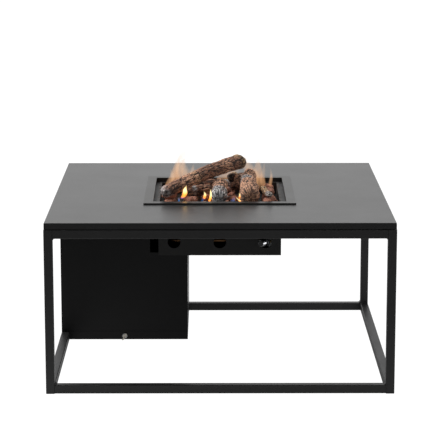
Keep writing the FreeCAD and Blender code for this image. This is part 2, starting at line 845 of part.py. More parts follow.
def base_cross_rail():
    """The tube across the foot of the housing, with a hole for the insert."""
    y = house_front + door_gap
    shape = rail_x(y, frame_foot, -rail_in, house_right - panel_sheet)
    insert_radius = wing_shank_radius + insert_bore_gap + insert_wall
    return shape.cut(light_rod(V(screw_x, y - 1, screw_z), V(0, 1, 0), insert_radius, tube_wall + 2, 6))


def top_cross_rail():
    """The tube that the door hangs from, between the left rail and the support rail."""
    return rail_x(house_front + door_gap, rail_high_low, -rail_in, -support_x - tube)


def bottle_tray():
    """The folded floor that the gas bottle stands on, with vents."""
    x0 = -rail_in
    x1 = house_right - panel_sheet
    y0 = house_front + door_gap + tube
    low = frame_foot + tray_lift
    shell = block(x0, x1, y0, rail_in, low, low + tray_rim)
    shell = shell.cut(block(x0 + panel_sheet, x1 - panel_sheet, y0 + panel_sheet, rail_in - panel_sheet,
                            low + panel_sheet, low + tray_rim + 1))
    middle_x = (x0 + x1) / 2
    middle_y = (y0 + rail_in) / 2
    for dx in (-tray_vent_offset, tray_vent_offset):
        shell = shell.cut(rod(V(middle_x + dx, middle_y, low - 1), V(0, 0, 1), tray_vent_radius, 4))
    return shell


def hinge_places():
    """Middle of each hinge along the door's top edge."""
    return (hinge_middle - hinge_spacing / 2, hinge_middle + hinge_spacing / 2)


def access_panel():
    """The door: a notched sheet, stepped forward at its foot over the cross rail, with two knuckles."""
    low = rail_low_top + door_gap * 2
    outline = [(door_left, low), (house_right, low), (house_right, notch_bottom), (notch_left, notch_bottom),
               (notch_left, door_top), (door_left, door_top), (door_left, low)]
    corners = [V(x, house_front, z) for x, z in outline]
    shape = Part.Face(Part.makePolygon(corners)).extrude(V(0, panel_sheet, 0))
    strip = block(-rail_in + door_gap, house_right, house_front - panel_sheet, house_front,
                  door_bottom, low + door_lap)
    shape = shape.fuse(strip)
    for x in hinge_places():
        start = x - knuckle_length / 2
        eye = rod(V(start, hinge_y, hinge_z), V(1, 0, 0), knuckle_radius, knuckle_length)
        root = block(start, start + knuckle_length, door_back - 0.5, hinge_y - hinge_pin_radius,
                     hinge_z - knuckle_radius * 0.8, hinge_z + knuckle_radius * 0.8)
        bore_radius = hinge_pin_radius + hinge_fit
        bore = rod(V(start - 1, hinge_y, hinge_z), V(1, 0, 0), bore_radius, knuckle_length + 2)
        shape = shape.fuse(eye.fuse(root).cut(bore))
    hole = rod(V(screw_x, house_front - panel_sheet - 1, screw_z), V(0, 1, 0),
               wing_shank_radius + door_hole_gap, panel_sheet + 2)
    return shape.cut(hole)


def hinge_ear_plate(x):
    """One ear of a hinge bracket: cut back in front above the pin, where the door's edge swings."""
    reach = knuckle_radius - hinge_ear_gap
    back = hinge_y + knuckle_radius * 2
    outline = [(hinge_y - reach, hinge_z - reach), (back, hinge_z - reach), (back, rail_high_low),
               (hinge_y + hinge_ear_gap, rail_high_low), (hinge_y + hinge_ear_gap, hinge_z + reach),
               (hinge_y - reach / 4, hinge_z + reach), (hinge_y - reach, hinge_z + reach / 4),
               (hinge_y - reach, hinge_z - reach)]
    plate = Part.Face(Part.makePolygon([V(x, y, z) for y, z in outline])).extrude(V(hinge_ear, 0, 0))
    hole = light_rod(V(x - 1, hinge_y, hinge_z), V(1, 0, 0), hinge_pin_radius + hinge_fit, hinge_ear + 2)
    return plate.cut(hole)


def hinge_brackets():
    """Two folded brackets screwed under the top cross rail, each with two ears."""
    brackets = []
    for x in hinge_places():
        left = x - knuckle_length / 2 - hinge_ear_gap - hinge_ear
        right = x + knuckle_length / 2 + hinge_ear_gap
        plate = block(left, right + hinge_ear, hinge_y + hinge_ear_gap, hinge_y + hinge_plate_depth,
                      rail_high_low - hinge_ear, rail_high_low)
        brackets.append(plate.fuse([hinge_ear_plate(left), hinge_ear_plate(right)]))
    return group(brackets)


def hinge_pins():
    """A plain pin pressed through each pair of ears."""
    pins = []
    for x in hinge_places():
        left = x - knuckle_length / 2 - hinge_ear_gap - hinge_ear
        length = knuckle_length + 2 * (hinge_ear_gap + hinge_ear)
        pins.append(rod(V(left - pin_overhang, hinge_y, hinge_z), V(1, 0, 0), hinge_pin_radius,
                        length + 2 * pin_overhang))
    return group(pins)


def screw_insert():
    """The hexagonal threaded insert in the cross rail, swollen behind the tube's wall."""
    bore = wing_shank_radius + insert_bore_gap
    y = house_front + door_gap
    way = V(0, 1, 0)
    body = light_rod(V(screw_x, y, screw_z), way, bore + insert_wall, insert_length, 6)
    bulge = light_rod(V(screw_x, y + tube_wall, screw_z), way, bore + insert_wall + insert_bulge, 3, 6)
    return body.fuse(bulge).cut(light_rod(V(screw_x, y - 1, screw_z), way, bore, insert_length + 2))


def captive_washer():
    """The washer that stays on the wing screw and goes out with it."""
    y = house_front - panel_sheet - washer_thick
    disc = rod(V(screw_x, y, screw_z), V(0, 1, 0), washer_radius, washer_thick)
    bore_radius = wing_shank_radius + washer_fit
    return disc.cut(rod(V(screw_x, y - 1, screw_z), V(0, 1, 0), bore_radius, washer_thick + 2))


def wing_screw():
    """A cast screw head with two rounded wings that rise forward from its hub."""
    seat = house_front - panel_sheet - washer_thick - washer_fit
    centre = V(screw_x, seat, screw_z)
    hub = rod(centre, V(0, -1, 0), wing_hub_radius, wing_hub_height)
    shank_length = washer_fit + washer_thick + panel_sheet + door_gap + wing_reach
    shank = rod(centre, V(0, 1, 0), wing_shank_radius, shank_length)
    web_low = seat - wing_foot
    tip = seat - wing_rise + wing_tip_radius
    lobe_at = wing_half_span - wing_tip_radius
    crotch = seat - wing_hub_height
    web = [(web_low, -wing_hub_radius), (tip, -wing_half_span), (tip - wing_tip_radius, -lobe_at),
           (crotch, 0), (tip - wing_tip_radius, lobe_at), (tip, wing_half_span),
           (web_low, wing_hub_radius), (web_low, -wing_hub_radius)]
    outline = Part.makePolygon([V(-wing_thick / 2, y, z) for y, z in web])
    wings = Part.Face(outline).extrude(V(wing_thick, 0, 0))
    for z in (-lobe_at, lobe_at):
        wings = wings.fuse(rod(V(-wing_thick / 2, tip, z), V(1, 0, 0), wing_tip_radius, wing_thick))
    wings.rotate(V(0, 0, 0), V(0, 1, 0), wing_turn)
    wings.translate(V(screw_x, 0, screw_z))
    return hub.fuse([shank, wings])


# Frame
for x_side, x_word in ((-1, "left"), (1, "right")):
    for y_side, y_word in ((-1, "front"), (1, "rear")):
        save("leg_" + y_word + "_" + x_word, leg(x_side, y_side))
for y, word in ((-half, "front"), (rail_in, "rear")):
    save("bottom_rail_" + word, rail_x(y, frame_foot, -rail_in, rail_in))
    save("top_rail_" + word, rail_x(y, rail_high_low, -rail_in, rail_in))
for x, word in ((-half, "left"), (rail_in, "right")):
    save("bottom_rail_" + word, rail_y(x, frame_foot, -rail_in, rail_in))
    save("top_rail_" + word, drill_fixings(rail_y(x, rail_high_low, -rail_in, rail_in)))
save("support_rail_left", rail_y(-support_x - tube, rail_high_low, -rail_in, rail_in))
save("support_rail_right", rail_y(support_x, rail_high_low, -rail_in, rail_in))
save("corner_welds", corner_welds())
save("leg_glides", leg_glides())

# Tabletop
save("tabletop", tabletop())
save("tabletop_stiffeners", tabletop_stiffeners())
save("tabletop_pads", tabletop_pads())
save("tabletop_screws", tabletop_screws())

# Burner
save("burner_rim", burner_rim())
save("box_flange", box_flange())
save("burner_box", burner_box())
save("burner_pan", burner_pan())
save("burner_tube", burner_tube())
save("mixer_tube", mixer_tube())
save("injector", injector())
save("supply_pipe", supply_pipe())
save("burner_pipe", burner_pipe())
save("gas_inlet", gas_inlet())
save("thermocouple", thermocouple())
save("thermocouple_lead", probe_lead(0, sensor_lead_drop))
save("igniter_electrode", igniter_electrode())
save("igniter_lead", probe_lead(1, spark_lead_drop))
save("lava_stones", lava_stones())
for name, start, end, start_radius, end_radius, bow, phase in logs:
    save(name, log(start, end, start_radius, end_radius, bow, phase))

# Gas valve
save("valve_bracket", valve_bracket())
save("valve_body", valve_body())
save("valve_stem", valve_stem())
save("push_collar", push_collar())
save("control_knob", control_knob())
save("knob_face", knob_face())

# Gas bottle housing
save("left_panel", left_panel())
save("rear_panel", rear_panel())
save("right_panel", right_panel())
save("base_cross_rail", base_cross_rail())
save("top_cross_rail", top_cross_rail())
save("bottle_tray", bottle_tray())
save("access_panel", access_panel())
save("hinge_brackets", hinge_brackets())
save("hinge_pins", hinge_pins())
save("screw_insert", screw_insert())
save("captive_washer", captive_washer())
save("wing_screw", wing_screw())
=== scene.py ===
import bmesh
import bpy
import math
import random
from mathutils import Matrix, Vector, noise
from mathutils.bvhtree import BVHTree


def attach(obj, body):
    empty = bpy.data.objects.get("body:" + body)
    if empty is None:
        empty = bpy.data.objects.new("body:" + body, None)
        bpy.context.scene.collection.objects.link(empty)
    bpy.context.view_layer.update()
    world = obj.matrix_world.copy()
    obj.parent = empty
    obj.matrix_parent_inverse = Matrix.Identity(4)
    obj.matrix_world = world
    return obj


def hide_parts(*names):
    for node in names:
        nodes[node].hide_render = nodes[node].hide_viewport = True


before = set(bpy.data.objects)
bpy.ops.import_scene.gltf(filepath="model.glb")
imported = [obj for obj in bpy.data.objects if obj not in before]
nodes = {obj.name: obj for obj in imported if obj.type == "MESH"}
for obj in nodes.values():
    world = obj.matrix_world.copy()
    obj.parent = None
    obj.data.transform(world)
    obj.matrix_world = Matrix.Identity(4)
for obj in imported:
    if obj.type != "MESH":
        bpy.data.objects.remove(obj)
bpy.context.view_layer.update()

# Camera
# A long lens nearly six metres off and a little over a metre above the tabletop, square to the
# front, as in the photograph.

camera_place = (-0.02388, -5.8787, 1.6035)
camera_down = 11.3508
camera_turn = -0.1038
camera_roll = 0.033

camera_data = bpy.data.cameras.new("camera")
camera_data.sensor_width = 36
camera_data.lens = 163.02
camera_data.clip_end = 100
camera = bpy.data.objects.new("camera", camera_data)
camera.location = camera_place
camera.rotation_mode = "XYZ"
camera.rotation_euler = [math.radians(angle) for angle in (90 - camera_down, camera_roll, camera_turn)]
bpy.context.scene.collection.objects.link(camera)
bpy.context.scene.camera = camera
bpy.context.scene.view_settings.view_transform = "Standard"


# Studio
# White paper under the table and a white wall behind it. A softbox hangs overhead to the left, a
# weaker one fills from the front, and a small card at the right lights the knob.

floor_half = 40
paper_grey = 0.34
paper_glow = 1.1
pool_glow = 0.25
pool_start = 0.7
pool_end = 1.5
front_glow = 0.185
wall_glow = 0.95
overhead_share = 0.55


def link_nodes(tree, *pairs):
    for source, target in pairs:
        tree.links.new(source, target)


def object_place(tree):
    return tree.nodes.new("ShaderNodeTexCoord").outputs["Object"]


def math_node(tree, operation, first, second=0.0, clamp=False):
    node = tree.nodes.new("ShaderNodeMath")
    node.operation = operation
    node.use_clamp = clamp
    for socket, value in zip(node.inputs, (first, second)):
        if isinstance(value, (int, float)):
            socket.default_value = value
        else:
            tree.links.new(value, socket)
    return node.outputs[0]


def range_node(tree, value, low, high, to_low=0.0, to_high=1.0):
    node = tree.nodes.new("ShaderNodeMapRange")
    node.interpolation_type = "SMOOTHSTEP"
    for socket, setting in (("From Min", low), ("From Max", high), ("To Min", to_low), ("To Max", to_high)):
        node.inputs[socket].default_value = setting
    tree.links.new(value, node.inputs["Value"])
    return node.outputs[0]


def studio_floor():
    """Paper that is white to the camera, grey to the light, and clear from below."""
    mesh = bpy.data.meshes.new("floor")
    bm = bmesh.new()
    bmesh.ops.create_grid(bm, x_segments=1, y_segments=1, size=floor_half)
    bm.to_mesh(mesh)
    bm.free()
    floor = bpy.data.objects.new("floor", mesh)
    bpy.context.scene.collection.objects.link(floor)
    paper = bpy.data.materials.new("studio_paper")
    paper.use_nodes = True
    tree = paper.node_tree
    tree.nodes.clear()
    output = tree.nodes.new("ShaderNodeOutputMaterial")
    matt = tree.nodes.new("ShaderNodeBsdfDiffuse")
    matt.inputs["Color"].default_value = (paper_grey, paper_grey, paper_grey, 1)
    lit = tree.nodes.new("ShaderNodeEmission")
    lit.inputs["Strength"].default_value = paper_glow
    reach = tree.nodes.new("ShaderNodeVectorMath")
    reach.operation = "LENGTH"
    tree.links.new(object_place(tree), reach.inputs[0])
    near = range_node(tree, reach.outputs["Value"], pool_start, pool_end, pool_glow, 0.0)
    pool = tree.nodes.new("ShaderNodeEmission")
    lit_matt = tree.nodes.new("ShaderNodeAddShader")
    path = tree.nodes.new("ShaderNodeLightPath")
    choose = tree.nodes.new("ShaderNodeMixShader")
    clear = tree.nodes.new("ShaderNodeBsdfTransparent")
    below = tree.nodes.new("ShaderNodeMixShader")
    under = tree.nodes.new("ShaderNodeNewGeometry")
    link_nodes(tree, (near, pool.inputs["Strength"]), (pool.outputs[0], lit_matt.inputs[0]),
               (matt.outputs[0], lit_matt.inputs[1]), (path.outputs["Is Camera Ray"], choose.inputs[0]),
               (lit_matt.outputs[0], choose.inputs[1]), (lit.outputs[0], choose.inputs[2]),
               (under.outputs["Backfacing"], below.inputs[0]), (choose.outputs[0], below.inputs[1]),
               (clear.outputs[0], below.inputs[2]), (below.outputs[0], output.inputs["Surface"]))
    mesh.materials.append(paper)


def studio_world():
    """White to the camera; for the light, bright behind the table and dim in front of it."""
    world = bpy.data.worlds.new("studio")
    bpy.context.scene.world = world
    world.use_nodes = True
    tree = world.node_tree
    tree.nodes.clear()
    output = tree.nodes.new("ShaderNodeOutputWorld")
    place = tree.nodes.new("ShaderNodeTexCoord").outputs["Generated"]
    split = tree.nodes.new("ShaderNodeSeparateXYZ")
    tree.links.new(place, split.inputs[0])
    behind = range_node(tree, split.outputs["Y"], -0.25, 0.55, front_glow, wall_glow)
    above = range_node(tree, split.outputs["Z"], 0.1, 0.8, 1.0, overhead_share)
    glow = math_node(tree, "MULTIPLY", behind, above)
    surround = tree.nodes.new("ShaderNodeBackground")
    white = tree.nodes.new("ShaderNodeBackground")
    path = tree.nodes.new("ShaderNodeLightPath")
    choose = tree.nodes.new("ShaderNodeMixShader")
    link_nodes(tree, (glow, surround.inputs["Strength"]), (path.outputs["Is Camera Ray"], choose.inputs[0]),
               (surround.outputs[0], choose.inputs[1]), (white.outputs[0], choose.inputs[2]),
               (choose.outputs[0], output.inputs["Surface"]))
    surround.inputs["Color"].default_value = (1, 1, 1, 1)
    white.inputs["Color"].default_value = (1, 1, 1, 1)


def softbox(name, place, aim, width, height, power):
    data = bpy.data.lights.new(name, "AREA")
    data.shape = "RECTANGLE"
    data.size = width
    data.size_y = height
    data.energy = power
    light = bpy.data.objects.new(name, data)
    light.location = place
    light.rotation_euler = (Vector(aim) - Vector(place)).to_track_quat("-Z", "Y").to_euler()
    bpy.context.scene.collection.objects.link(light)


studio_floor()
studio_world()
softbox("overhead", (-2.4, 0.2, 2.9), aim=(0, 0, 0.4), width=2.4, height=2.4, power=125)
softbox("front_fill", (2.6, -4.4, 2.6), aim=(0, 0, 0.4), width=1.6, height=1.6, power=30)
softbox("low_card", (1.3, -0.3, 0.31), aim=(0.13, -0.2, 0.37), width=1.0, height=0.6, power=3.6)


# Frame
# Twelve square steel tubes with small round corners, welded into an open cube, with two
# support rails under the tabletop. Sprayed with fine matt black powder and baked.

peel_scale = 650
peel_grain_scale = 2600
coat_cloud_scale = 7
speck_scale = 1400
dust_scale = 22
dust_tone = (0.16, 0.155, 0.145)
peel_height = 0.00012


def shader_group(name, inputs, outputs):
    """A node group whose named sockets are all single values."""
    group = bpy.data.node_groups.new(name, "ShaderNodeTree")
    for socket, value in inputs.items():
        made = group.interface.new_socket(name=socket, in_out="INPUT", socket_type="NodeSocketFloat")
        made.default_value = value
    for socket in outputs:
        group.interface.new_socket(name=socket, in_out="OUTPUT", socket_type="NodeSocketFloat")
    return group, group.nodes.new("NodeGroupInput"), group.nodes.new("NodeGroupOutput")


def noise_node(tree, place, scale, detail, roughness=0.5):
    node = tree.nodes.new("ShaderNodeTexNoise")
    node.inputs["Scale"].default_value = scale
    node.inputs["Detail"].default_value = detail
    node.inputs["Roughness"].default_value = roughness
    tree.links.new(place, node.inputs["Vector"])
    return node.outputs["Fac"]


def powder_group():
    """Orange peel, cloudy gloss, pin-head specks and a little dust on upward faces."""
    group, given, result = shader_group("powder_coat", {"Roughness": 0.4, "Spread": 0.06, "Dust": 0.1},
                                        ("Cloud", "Dust", "Roughness", "Height"))
    place = object_place(group)
    peel = noise_node(group, place, peel_scale, 2)
    grain = noise_node(group, place, peel_grain_scale, 1)
    cloud = noise_node(group, place, coat_cloud_scale, 4, 0.55)
    speck = noise_node(group, place, speck_scale, 1)
    facing = group.nodes.new("ShaderNodeSeparateXYZ")
    group.links.new(group.nodes.new("ShaderNodeNewGeometry").outputs["Normal"], facing.inputs[0])
    upward = range_node(group, facing.outputs["Z"], 0.4, 0.95)
    patchy = range_node(group, noise_node(group, place, dust_scale, 5, 0.65), 0.45, 0.72)
    specks = range_node(group, speck, 0.66, 0.74)
    dust = math_node(group, "MULTIPLY", upward, math_node(group, "ADD", patchy, specks))
    dust = math_node(group, "MULTIPLY", dust, given.outputs["Dust"], True)
    swing = math_node(group, "MULTIPLY", math_node(group, "SUBTRACT", cloud, 0.5), given.outputs["Spread"])
    gloss = math_node(group, "ADD", given.outputs["Roughness"], math_node(group, "MULTIPLY", swing, 2.0))
    gloss = math_node(group, "ADD", gloss, math_node(group, "MULTIPLY", dust, 0.2), True)
    height = math_node(group, "ADD", peel, math_node(group, "MULTIPLY", grain, 0.3))
    link_nodes(group, (cloud, result.inputs["Cloud"]), (dust, result.inputs["Dust"]),
               (gloss, result.inputs["Roughness"]), (height, result.inputs["Height"]))
    return group


powder = powder_group()


def material_base(name, roughness, metallic=0.0):
    """A material with its Principled shader, ready for its own nodes."""
    material = bpy.data.materials.new(name)
    material.use_nodes = True
    shader = material.node_tree.nodes["Principled BSDF"]
    shader.inputs["Roughness"].default_value = roughness
    shader.inputs["Metallic"].default_value = metallic
    return material, material.node_tree, shader


def place_group(tree, group, **values):
    node = tree.nodes.new("ShaderNodeGroup")
    node.node_tree = group
    for socket, value in values.items():
        node.inputs[socket].default_value = value
    return node.outputs


def two_tone(tree, factor, first, second):
    """A colour that runs from the first tone to the second over the surface."""
    node = tree.nodes.new("ShaderNodeMix")
    node.data_type = "RGBA"
    for socket, value in ((node.inputs[6], first), (node.inputs[7], second)):
        if isinstance(value, tuple):
            socket.default_value = (*value, 1)
        else:
            tree.links.new(value, socket)
    tree.links.new(factor, node.inputs[0])
    return node.outputs[2]


def bump(tree, shader, height, strength, distance):
    node = tree.nodes.new("ShaderNodeBump")
    node.inputs["Strength"].default_value = strength
    node.inputs["Distance"].default_value = distance
    tree.links.new(height, node.inputs["Height"])
    tree.links.new(node.outputs[0], shader.inputs["Normal"])


def powder_coat(name, dark, light, roughness, spread, dust, peel, specular=0.5):
    """Black powder coat between two near tones, with its own gloss and texture."""
    material, tree, shader = material_base(name, roughness)
    shader.inputs["Specular IOR Level"].default_value = specular
    coat = place_group(tree, powder, Roughness=roughness, Spread=spread, Dust=dust)
    tone = two_tone(tree, coat["Cloud"], dark, light)
    tone = two_tone(tree, coat["Dust"], tone, dust_tone)
    tree.links.new(tone, shader.inputs["Base Color"])
    tree.links.new(coat["Roughness"], shader.inputs["Roughness"])
    bump(tree, shader, coat["Height"], peel, peel_height)
    return material


def finish(material, *names):
    """Give CAD nodes a finish."""
    for name in names:
        mesh = nodes[name].data
        mesh.materials.clear()
        mesh.materials.append(material)


frame_coat = powder_coat("frame_powder", (0.0045, 0.0045, 0.0046), (0.0085, 0.0085, 0.0087),
                         roughness=0.42, spread=0.05, dust=0.04, peel=0.1, specular=0.6)
for side in ("front", "rear", "left", "right"):
    finish(frame_coat, "bottom_rail_" + side, "top_rail_" + side)
for side in ("left", "right"):
    finish(frame_coat, "leg_front_" + side, "leg_rear_" + side, "support_rail_" + side)
finish(frame_coat, "base_cross_rail", "top_cross_rail")


# Corner welds and leg glides
# A short ground bead closes each corner between leg and rail, under the same powder coat.
# Each leg stands on a moulded nylon plug pressed into the open tube.

weld_coat = powder_coat("weld_powder", (0.0035, 0.0035, 0.0036), (0.008, 0.008, 0.0082),
                        roughness=0.46, spread=0.08, dust=0.05, peel=0.9, specular=0.5)
finish(weld_coat, "corner_welds")


def moulded_plastic(name, tone, roughness):
    """Black moulded plastic with a fine grain and faint flow marks."""
    material, tree, shader = material_base(name, roughness)
    place = object_place(tree)
    flow = noise_node(tree, place, 30, 4, 0.6)
    grain = noise_node(tree, place, 1500, 2)
    lighter = tuple(2.2 * part for part in tone)
    tree.links.new(two_tone(tree, flow, tone, lighter), shader.inputs["Base Color"])
    gloss = range_node(tree, flow, 0.3, 0.7, roughness - 0.06, roughness + 0.08)
    tree.links.new(gloss, shader.inputs["Roughness"])
    bump(tree, shader, grain, 0.35, 0.0001)
    return material


glide_plastic = moulded_plastic("glide_plastic", (0.008, 0.008, 0.0085), 0.55)
finish(glide_plastic, "leg_glides", "tabletop_pads")


# Tabletop
# A steel sheet folded down on all four sides, powder coated satin black. Two folded channels
# are glued underneath, and four screws with small pads hold it a little above the frame.

metal_cloud_scale = 90
metal_grain_scale = 1100
scratch_scale = 420
stain_scale = 34
scratch_height = 0.00008

tabletop_coat = powder_coat("tabletop_powder", (0.006, 0.006, 0.0064), (0.011, 0.011, 0.0115),
                            roughness=0.3, spread=0.03, dust=0.07, peel=0.45)
finish(tabletop_coat, "tabletop")
finish(frame_coat, "tabletop_stiffeners")


def metal_group():
    """Cloudy gloss, fine scratches and stains on bare metal."""
    group, given, result = shader_group("bare_metal", {"Roughness": 0.3, "Spread": 0.1, "Stain": 0.3},
                                        ("Cloud", "Stain", "Roughness", "Height"))
    place = object_place(group)
    cloud = noise_node(group, place, metal_cloud_scale, 4, 0.6)
    fine = noise_node(group, place, metal_grain_scale, 2)
    stretch = group.nodes.new("ShaderNodeMapping")
    stretch.inputs["Scale"].default_value = (0.12, 1.0, 1.0)
    group.links.new(place, stretch.inputs["Vector"])
    scratches = noise_node(group, stretch.outputs[0], scratch_scale, 3)
    stain = range_node(group, noise_node(group, place, stain_scale, 5, 0.7), 0.42, 0.7)
    stain = math_node(group, "MULTIPLY", stain, given.outputs["Stain"], True)
    swing = math_node(group, "MULTIPLY", math_node(group, "SUBTRACT", cloud, 0.5), given.outputs["Spread"])
    gloss = math_node(group, "ADD", given.outputs["Roughness"], math_node(group, "MULTIPLY", swing, 2.0))
    gloss = math_node(group, "ADD", gloss, math_node(group, "MULTIPLY", stain, 0.25), True)
    height = math_node(group, "ADD", math_node(group, "MULTIPLY", scratches, 0.6), fine)
    link_nodes(group, (cloud, result.inputs["Cloud"]), (stain, result.inputs["Stain"]),
               (gloss, result.inputs["Roughness"]), (height, result.inputs["Height"]))
    return group


bare = metal_group()


def bare_metal(name, dark, light, stain_tone, roughness, spread, stain, strength, metallic=1.0):
    """Bare metal between two tones, with stains of a third."""
    material, tree, shader = material_base(name, roughness, metallic)
    surface = place_group(tree, bare, Roughness=roughness, Spread=spread, Stain=stain)
    tone = two_tone(tree, surface["Cloud"], dark, light)
    tone = two_tone(tree, surface["Stain"], tone, stain_tone)
    tree.links.new(tone, shader.inputs["Base Color"])
    tree.links.new(surface["Roughness"], shader.inputs["Roughness"])
    bump(tree, shader, surface["Height"], strength, scratch_height)
    return material


zinc_steel = bare_metal("zinc_plated_steel", (0.34, 0.35, 0.37), (0.5, 0.51, 0.52), (0.3, 0.3, 0.27),
                        roughness=0.34, spread=0.1, stain=0.4, strength=0.3)
finish(zinc_steel, "tabletop_screws")


# Burner rim
# A frame folded from steel sheet lies on the tabletop round the opening. Its inner wall runs
# down to the box. The heat has turned its powder coat a little brown.

rim_coat = powder_coat("rim_powder", (0.0062, 0.0058, 0.0054), (0.013, 0.0115, 0.0102),
                       roughness=0.34, spread=0.05, dust=0.2, peel=0.5)
finish(rim_coat, "burner_rim")


# Burner box
# A folded steel box hangs from a flat welded ring. Three round air holes show in its front.
# Its thin black coat is duller than the tabletop's and dusty from the stones.

box_coat = powder_coat("box_powder", (0.005, 0.0049, 0.0046), (0.009, 0.0086, 0.008),
                       roughness=0.5, spread=0.08, dust=0.35, peel=0.6, specular=0.4)
finish(box_coat, "burner_box", "box_flange")


# Stone pan
# A shallow pan pressed from steel sheet lies in the box and carries the burner and the stones.
# The flames have scorched it, and crumbs of the stones lie on it.

def scorched_sheet(name):
    """Dark baked sheet with rusty and sooty patches."""
    material, tree, shader = material_base(name, 0.6)
    place = object_place(tree)
    soot = range_node(tree, noise_node(tree, place, 14, 5, 0.6), 0.4, 0.62)
    rust = range_node(tree, noise_node(tree, place, 48, 5, 0.7), 0.5, 0.68)
    crumbs = range_node(tree, noise_node(tree, place, 700, 2), 0.62, 0.7)
    tone = two_tone(tree, rust, (0.02, 0.016, 0.013), (0.085, 0.045, 0.024))
    tone = two_tone(tree, soot, tone, (0.009, 0.0085, 0.008))
    tone = two_tone(tree, crumbs, tone, (0.16, 0.13, 0.1))
    tree.links.new(tone, shader.inputs["Base Color"])
    tree.links.new(range_node(tree, rust, 0.0, 1.0, 0.5, 0.85), shader.inputs["Roughness"])
    bump(tree, shader, math_node(tree, "ADD", rust, crumbs), 0.4, 0.0003)
    return material


finish(scorched_sheet("scorched_pan"), "burner_pan")


# Burner, mixer and injector
# The burner is an H of stainless square tube with sawn slots, blued by the heat. The gas comes
# through a brass injector into a steel mixing tube with windows for the air.

burner_steel = bare_metal("heated_steel", (0.16, 0.13, 0.11), (0.3, 0.27, 0.25), (0.07, 0.075, 0.12),
                          roughness=0.42, spread=0.15, stain=0.8, strength=0.5)
finish(burner_steel, "burner_tube", "mixer_tube")
brass = bare_metal("brass", (0.5, 0.33, 0.11), (0.62, 0.44, 0.17), (0.2, 0.13, 0.06),
                   roughness=0.3, spread=0.12, stain=0.45, strength=0.35)
finish(brass, "injector", "gas_inlet")


# Gas pipes
# Two bent copper pipes, browned by heat and handling: one from the inlet to the valve, one from
# the valve to the injector.

copper = bare_metal("copper_pipe", (0.2, 0.1, 0.05), (0.34, 0.19, 0.09), (0.07, 0.04, 0.025),
                    roughness=0.42, spread=0.14, stain=0.7, strength=0.4)
finish(copper, "supply_pipe", "burner_pipe")


# Flame sensor and spark electrode
# Both stand in the pan beside the burner. The sensor is a closed steel tube, browned by the
# heat, the electrode a wire in a glazed ceramic sleeve. Their leads run down to the valve.

sensor_steel = bare_metal("sensor_steel", (0.2, 0.17, 0.14), (0.34, 0.3, 0.26), (0.08, 0.08, 0.1),
                          roughness=0.4, spread=0.14, stain=0.7, strength=0.4)
finish(sensor_steel, "thermocouple")


def glazed_sleeve(name):
    """White glazed ceramic, stained brown by smoke."""
    material, tree, shader = material_base(name, 0.3)
    place = object_place(tree)
    smoke = range_node(tree, noise_node(tree, place, 90, 5, 0.65), 0.42, 0.75)
    fine = noise_node(tree, place, 900, 2)
    tone = two_tone(tree, smoke, (0.62, 0.6, 0.55), (0.22, 0.16, 0.11))
    tree.links.new(tone, shader.inputs["Base Color"])
    tree.links.new(range_node(tree, smoke, 0.0, 1.0, 0.24, 0.6), shader.inputs["Roughness"])
    bump(tree, shader, fine, 0.2, 0.0001)
    return material


def woven_sleeve(name):
    """Dark glass-fibre sleeving with a fine diagonal weave."""
    material, tree, shader = material_base(name, 0.75)
    place = object_place(tree)
    weave = tree.nodes.new("ShaderNodeTexWave")
    weave.bands_direction = "DIAGONAL"
    weave.inputs["Scale"].default_value = 520
    weave.inputs["Distortion"].default_value = 2.0
    tree.links.new(place, weave.inputs["Vector"])
    grime = noise_node(tree, place, 60, 4, 0.6)
    tone = two_tone(tree, weave.outputs["Fac"], (0.03, 0.027, 0.024), (0.09, 0.082, 0.072))
    tone = two_tone(tree, grime, tone, (0.04, 0.03, 0.022))
    tree.links.new(tone, shader.inputs["Base Color"])
    bump(tree, shader, weave.outputs["Fac"], 0.6, 0.0003)
    return material


finish(glazed_sleeve("glazed_sleeve"), "igniter_electrode")
finish(woven_sleeve("woven_sleeve"), "igniter_lead")
finish(copper, "thermocouple_lead")


# Lava stones
# Broken pieces of porous red-brown lava rock, a layer round the burner and larger loose ones
# on top. Every stone keeps the place and size of its lump in the frame.

stone_edge = 1.1
edge_power = 7
stone_breaks = 11
break_sharpness = 22
swell_share = 0.07
swell_limit = 0.012
pit_depth = 0.00352
pit_scale = 190
fine_pit_scale = 420
seed_step = Vector((7.3, 2.1, 4.7))
tone_step = 0.618


def stone_lumps(cad_object):
    """The separate lumps of the stone layer, each as points and faces."""
    bm = bmesh.new()
    bm.from_mesh(cad_object.data)
    bm.transform(cad_object.matrix_world)
    bmesh.ops.remove_doubles(bm, verts=bm.verts, dist=0.00001)
    waiting = dict.fromkeys(bm.faces)
    lumps = []
    while waiting:
        lump = [waiting.popitem()[0]]
        for face in lump:
            for edge in face.edges:
                for neighbour in edge.link_faces:
                    if neighbour in waiting:
                        del waiting[neighbour]
                        lump.append(neighbour)
        corners = {v: i for i, v in enumerate(dict.fromkeys(v for face in lump for v in face.verts))}
        points = [v.co.copy() for v in corners]
        lumps.append((points, [[corners[v] for v in face.verts] for face in lump]))
    bm.free()
    return sorted(lumps, key=lambda lump: tuple(round(c, 4) for c in min(map(tuple, lump[0]))))


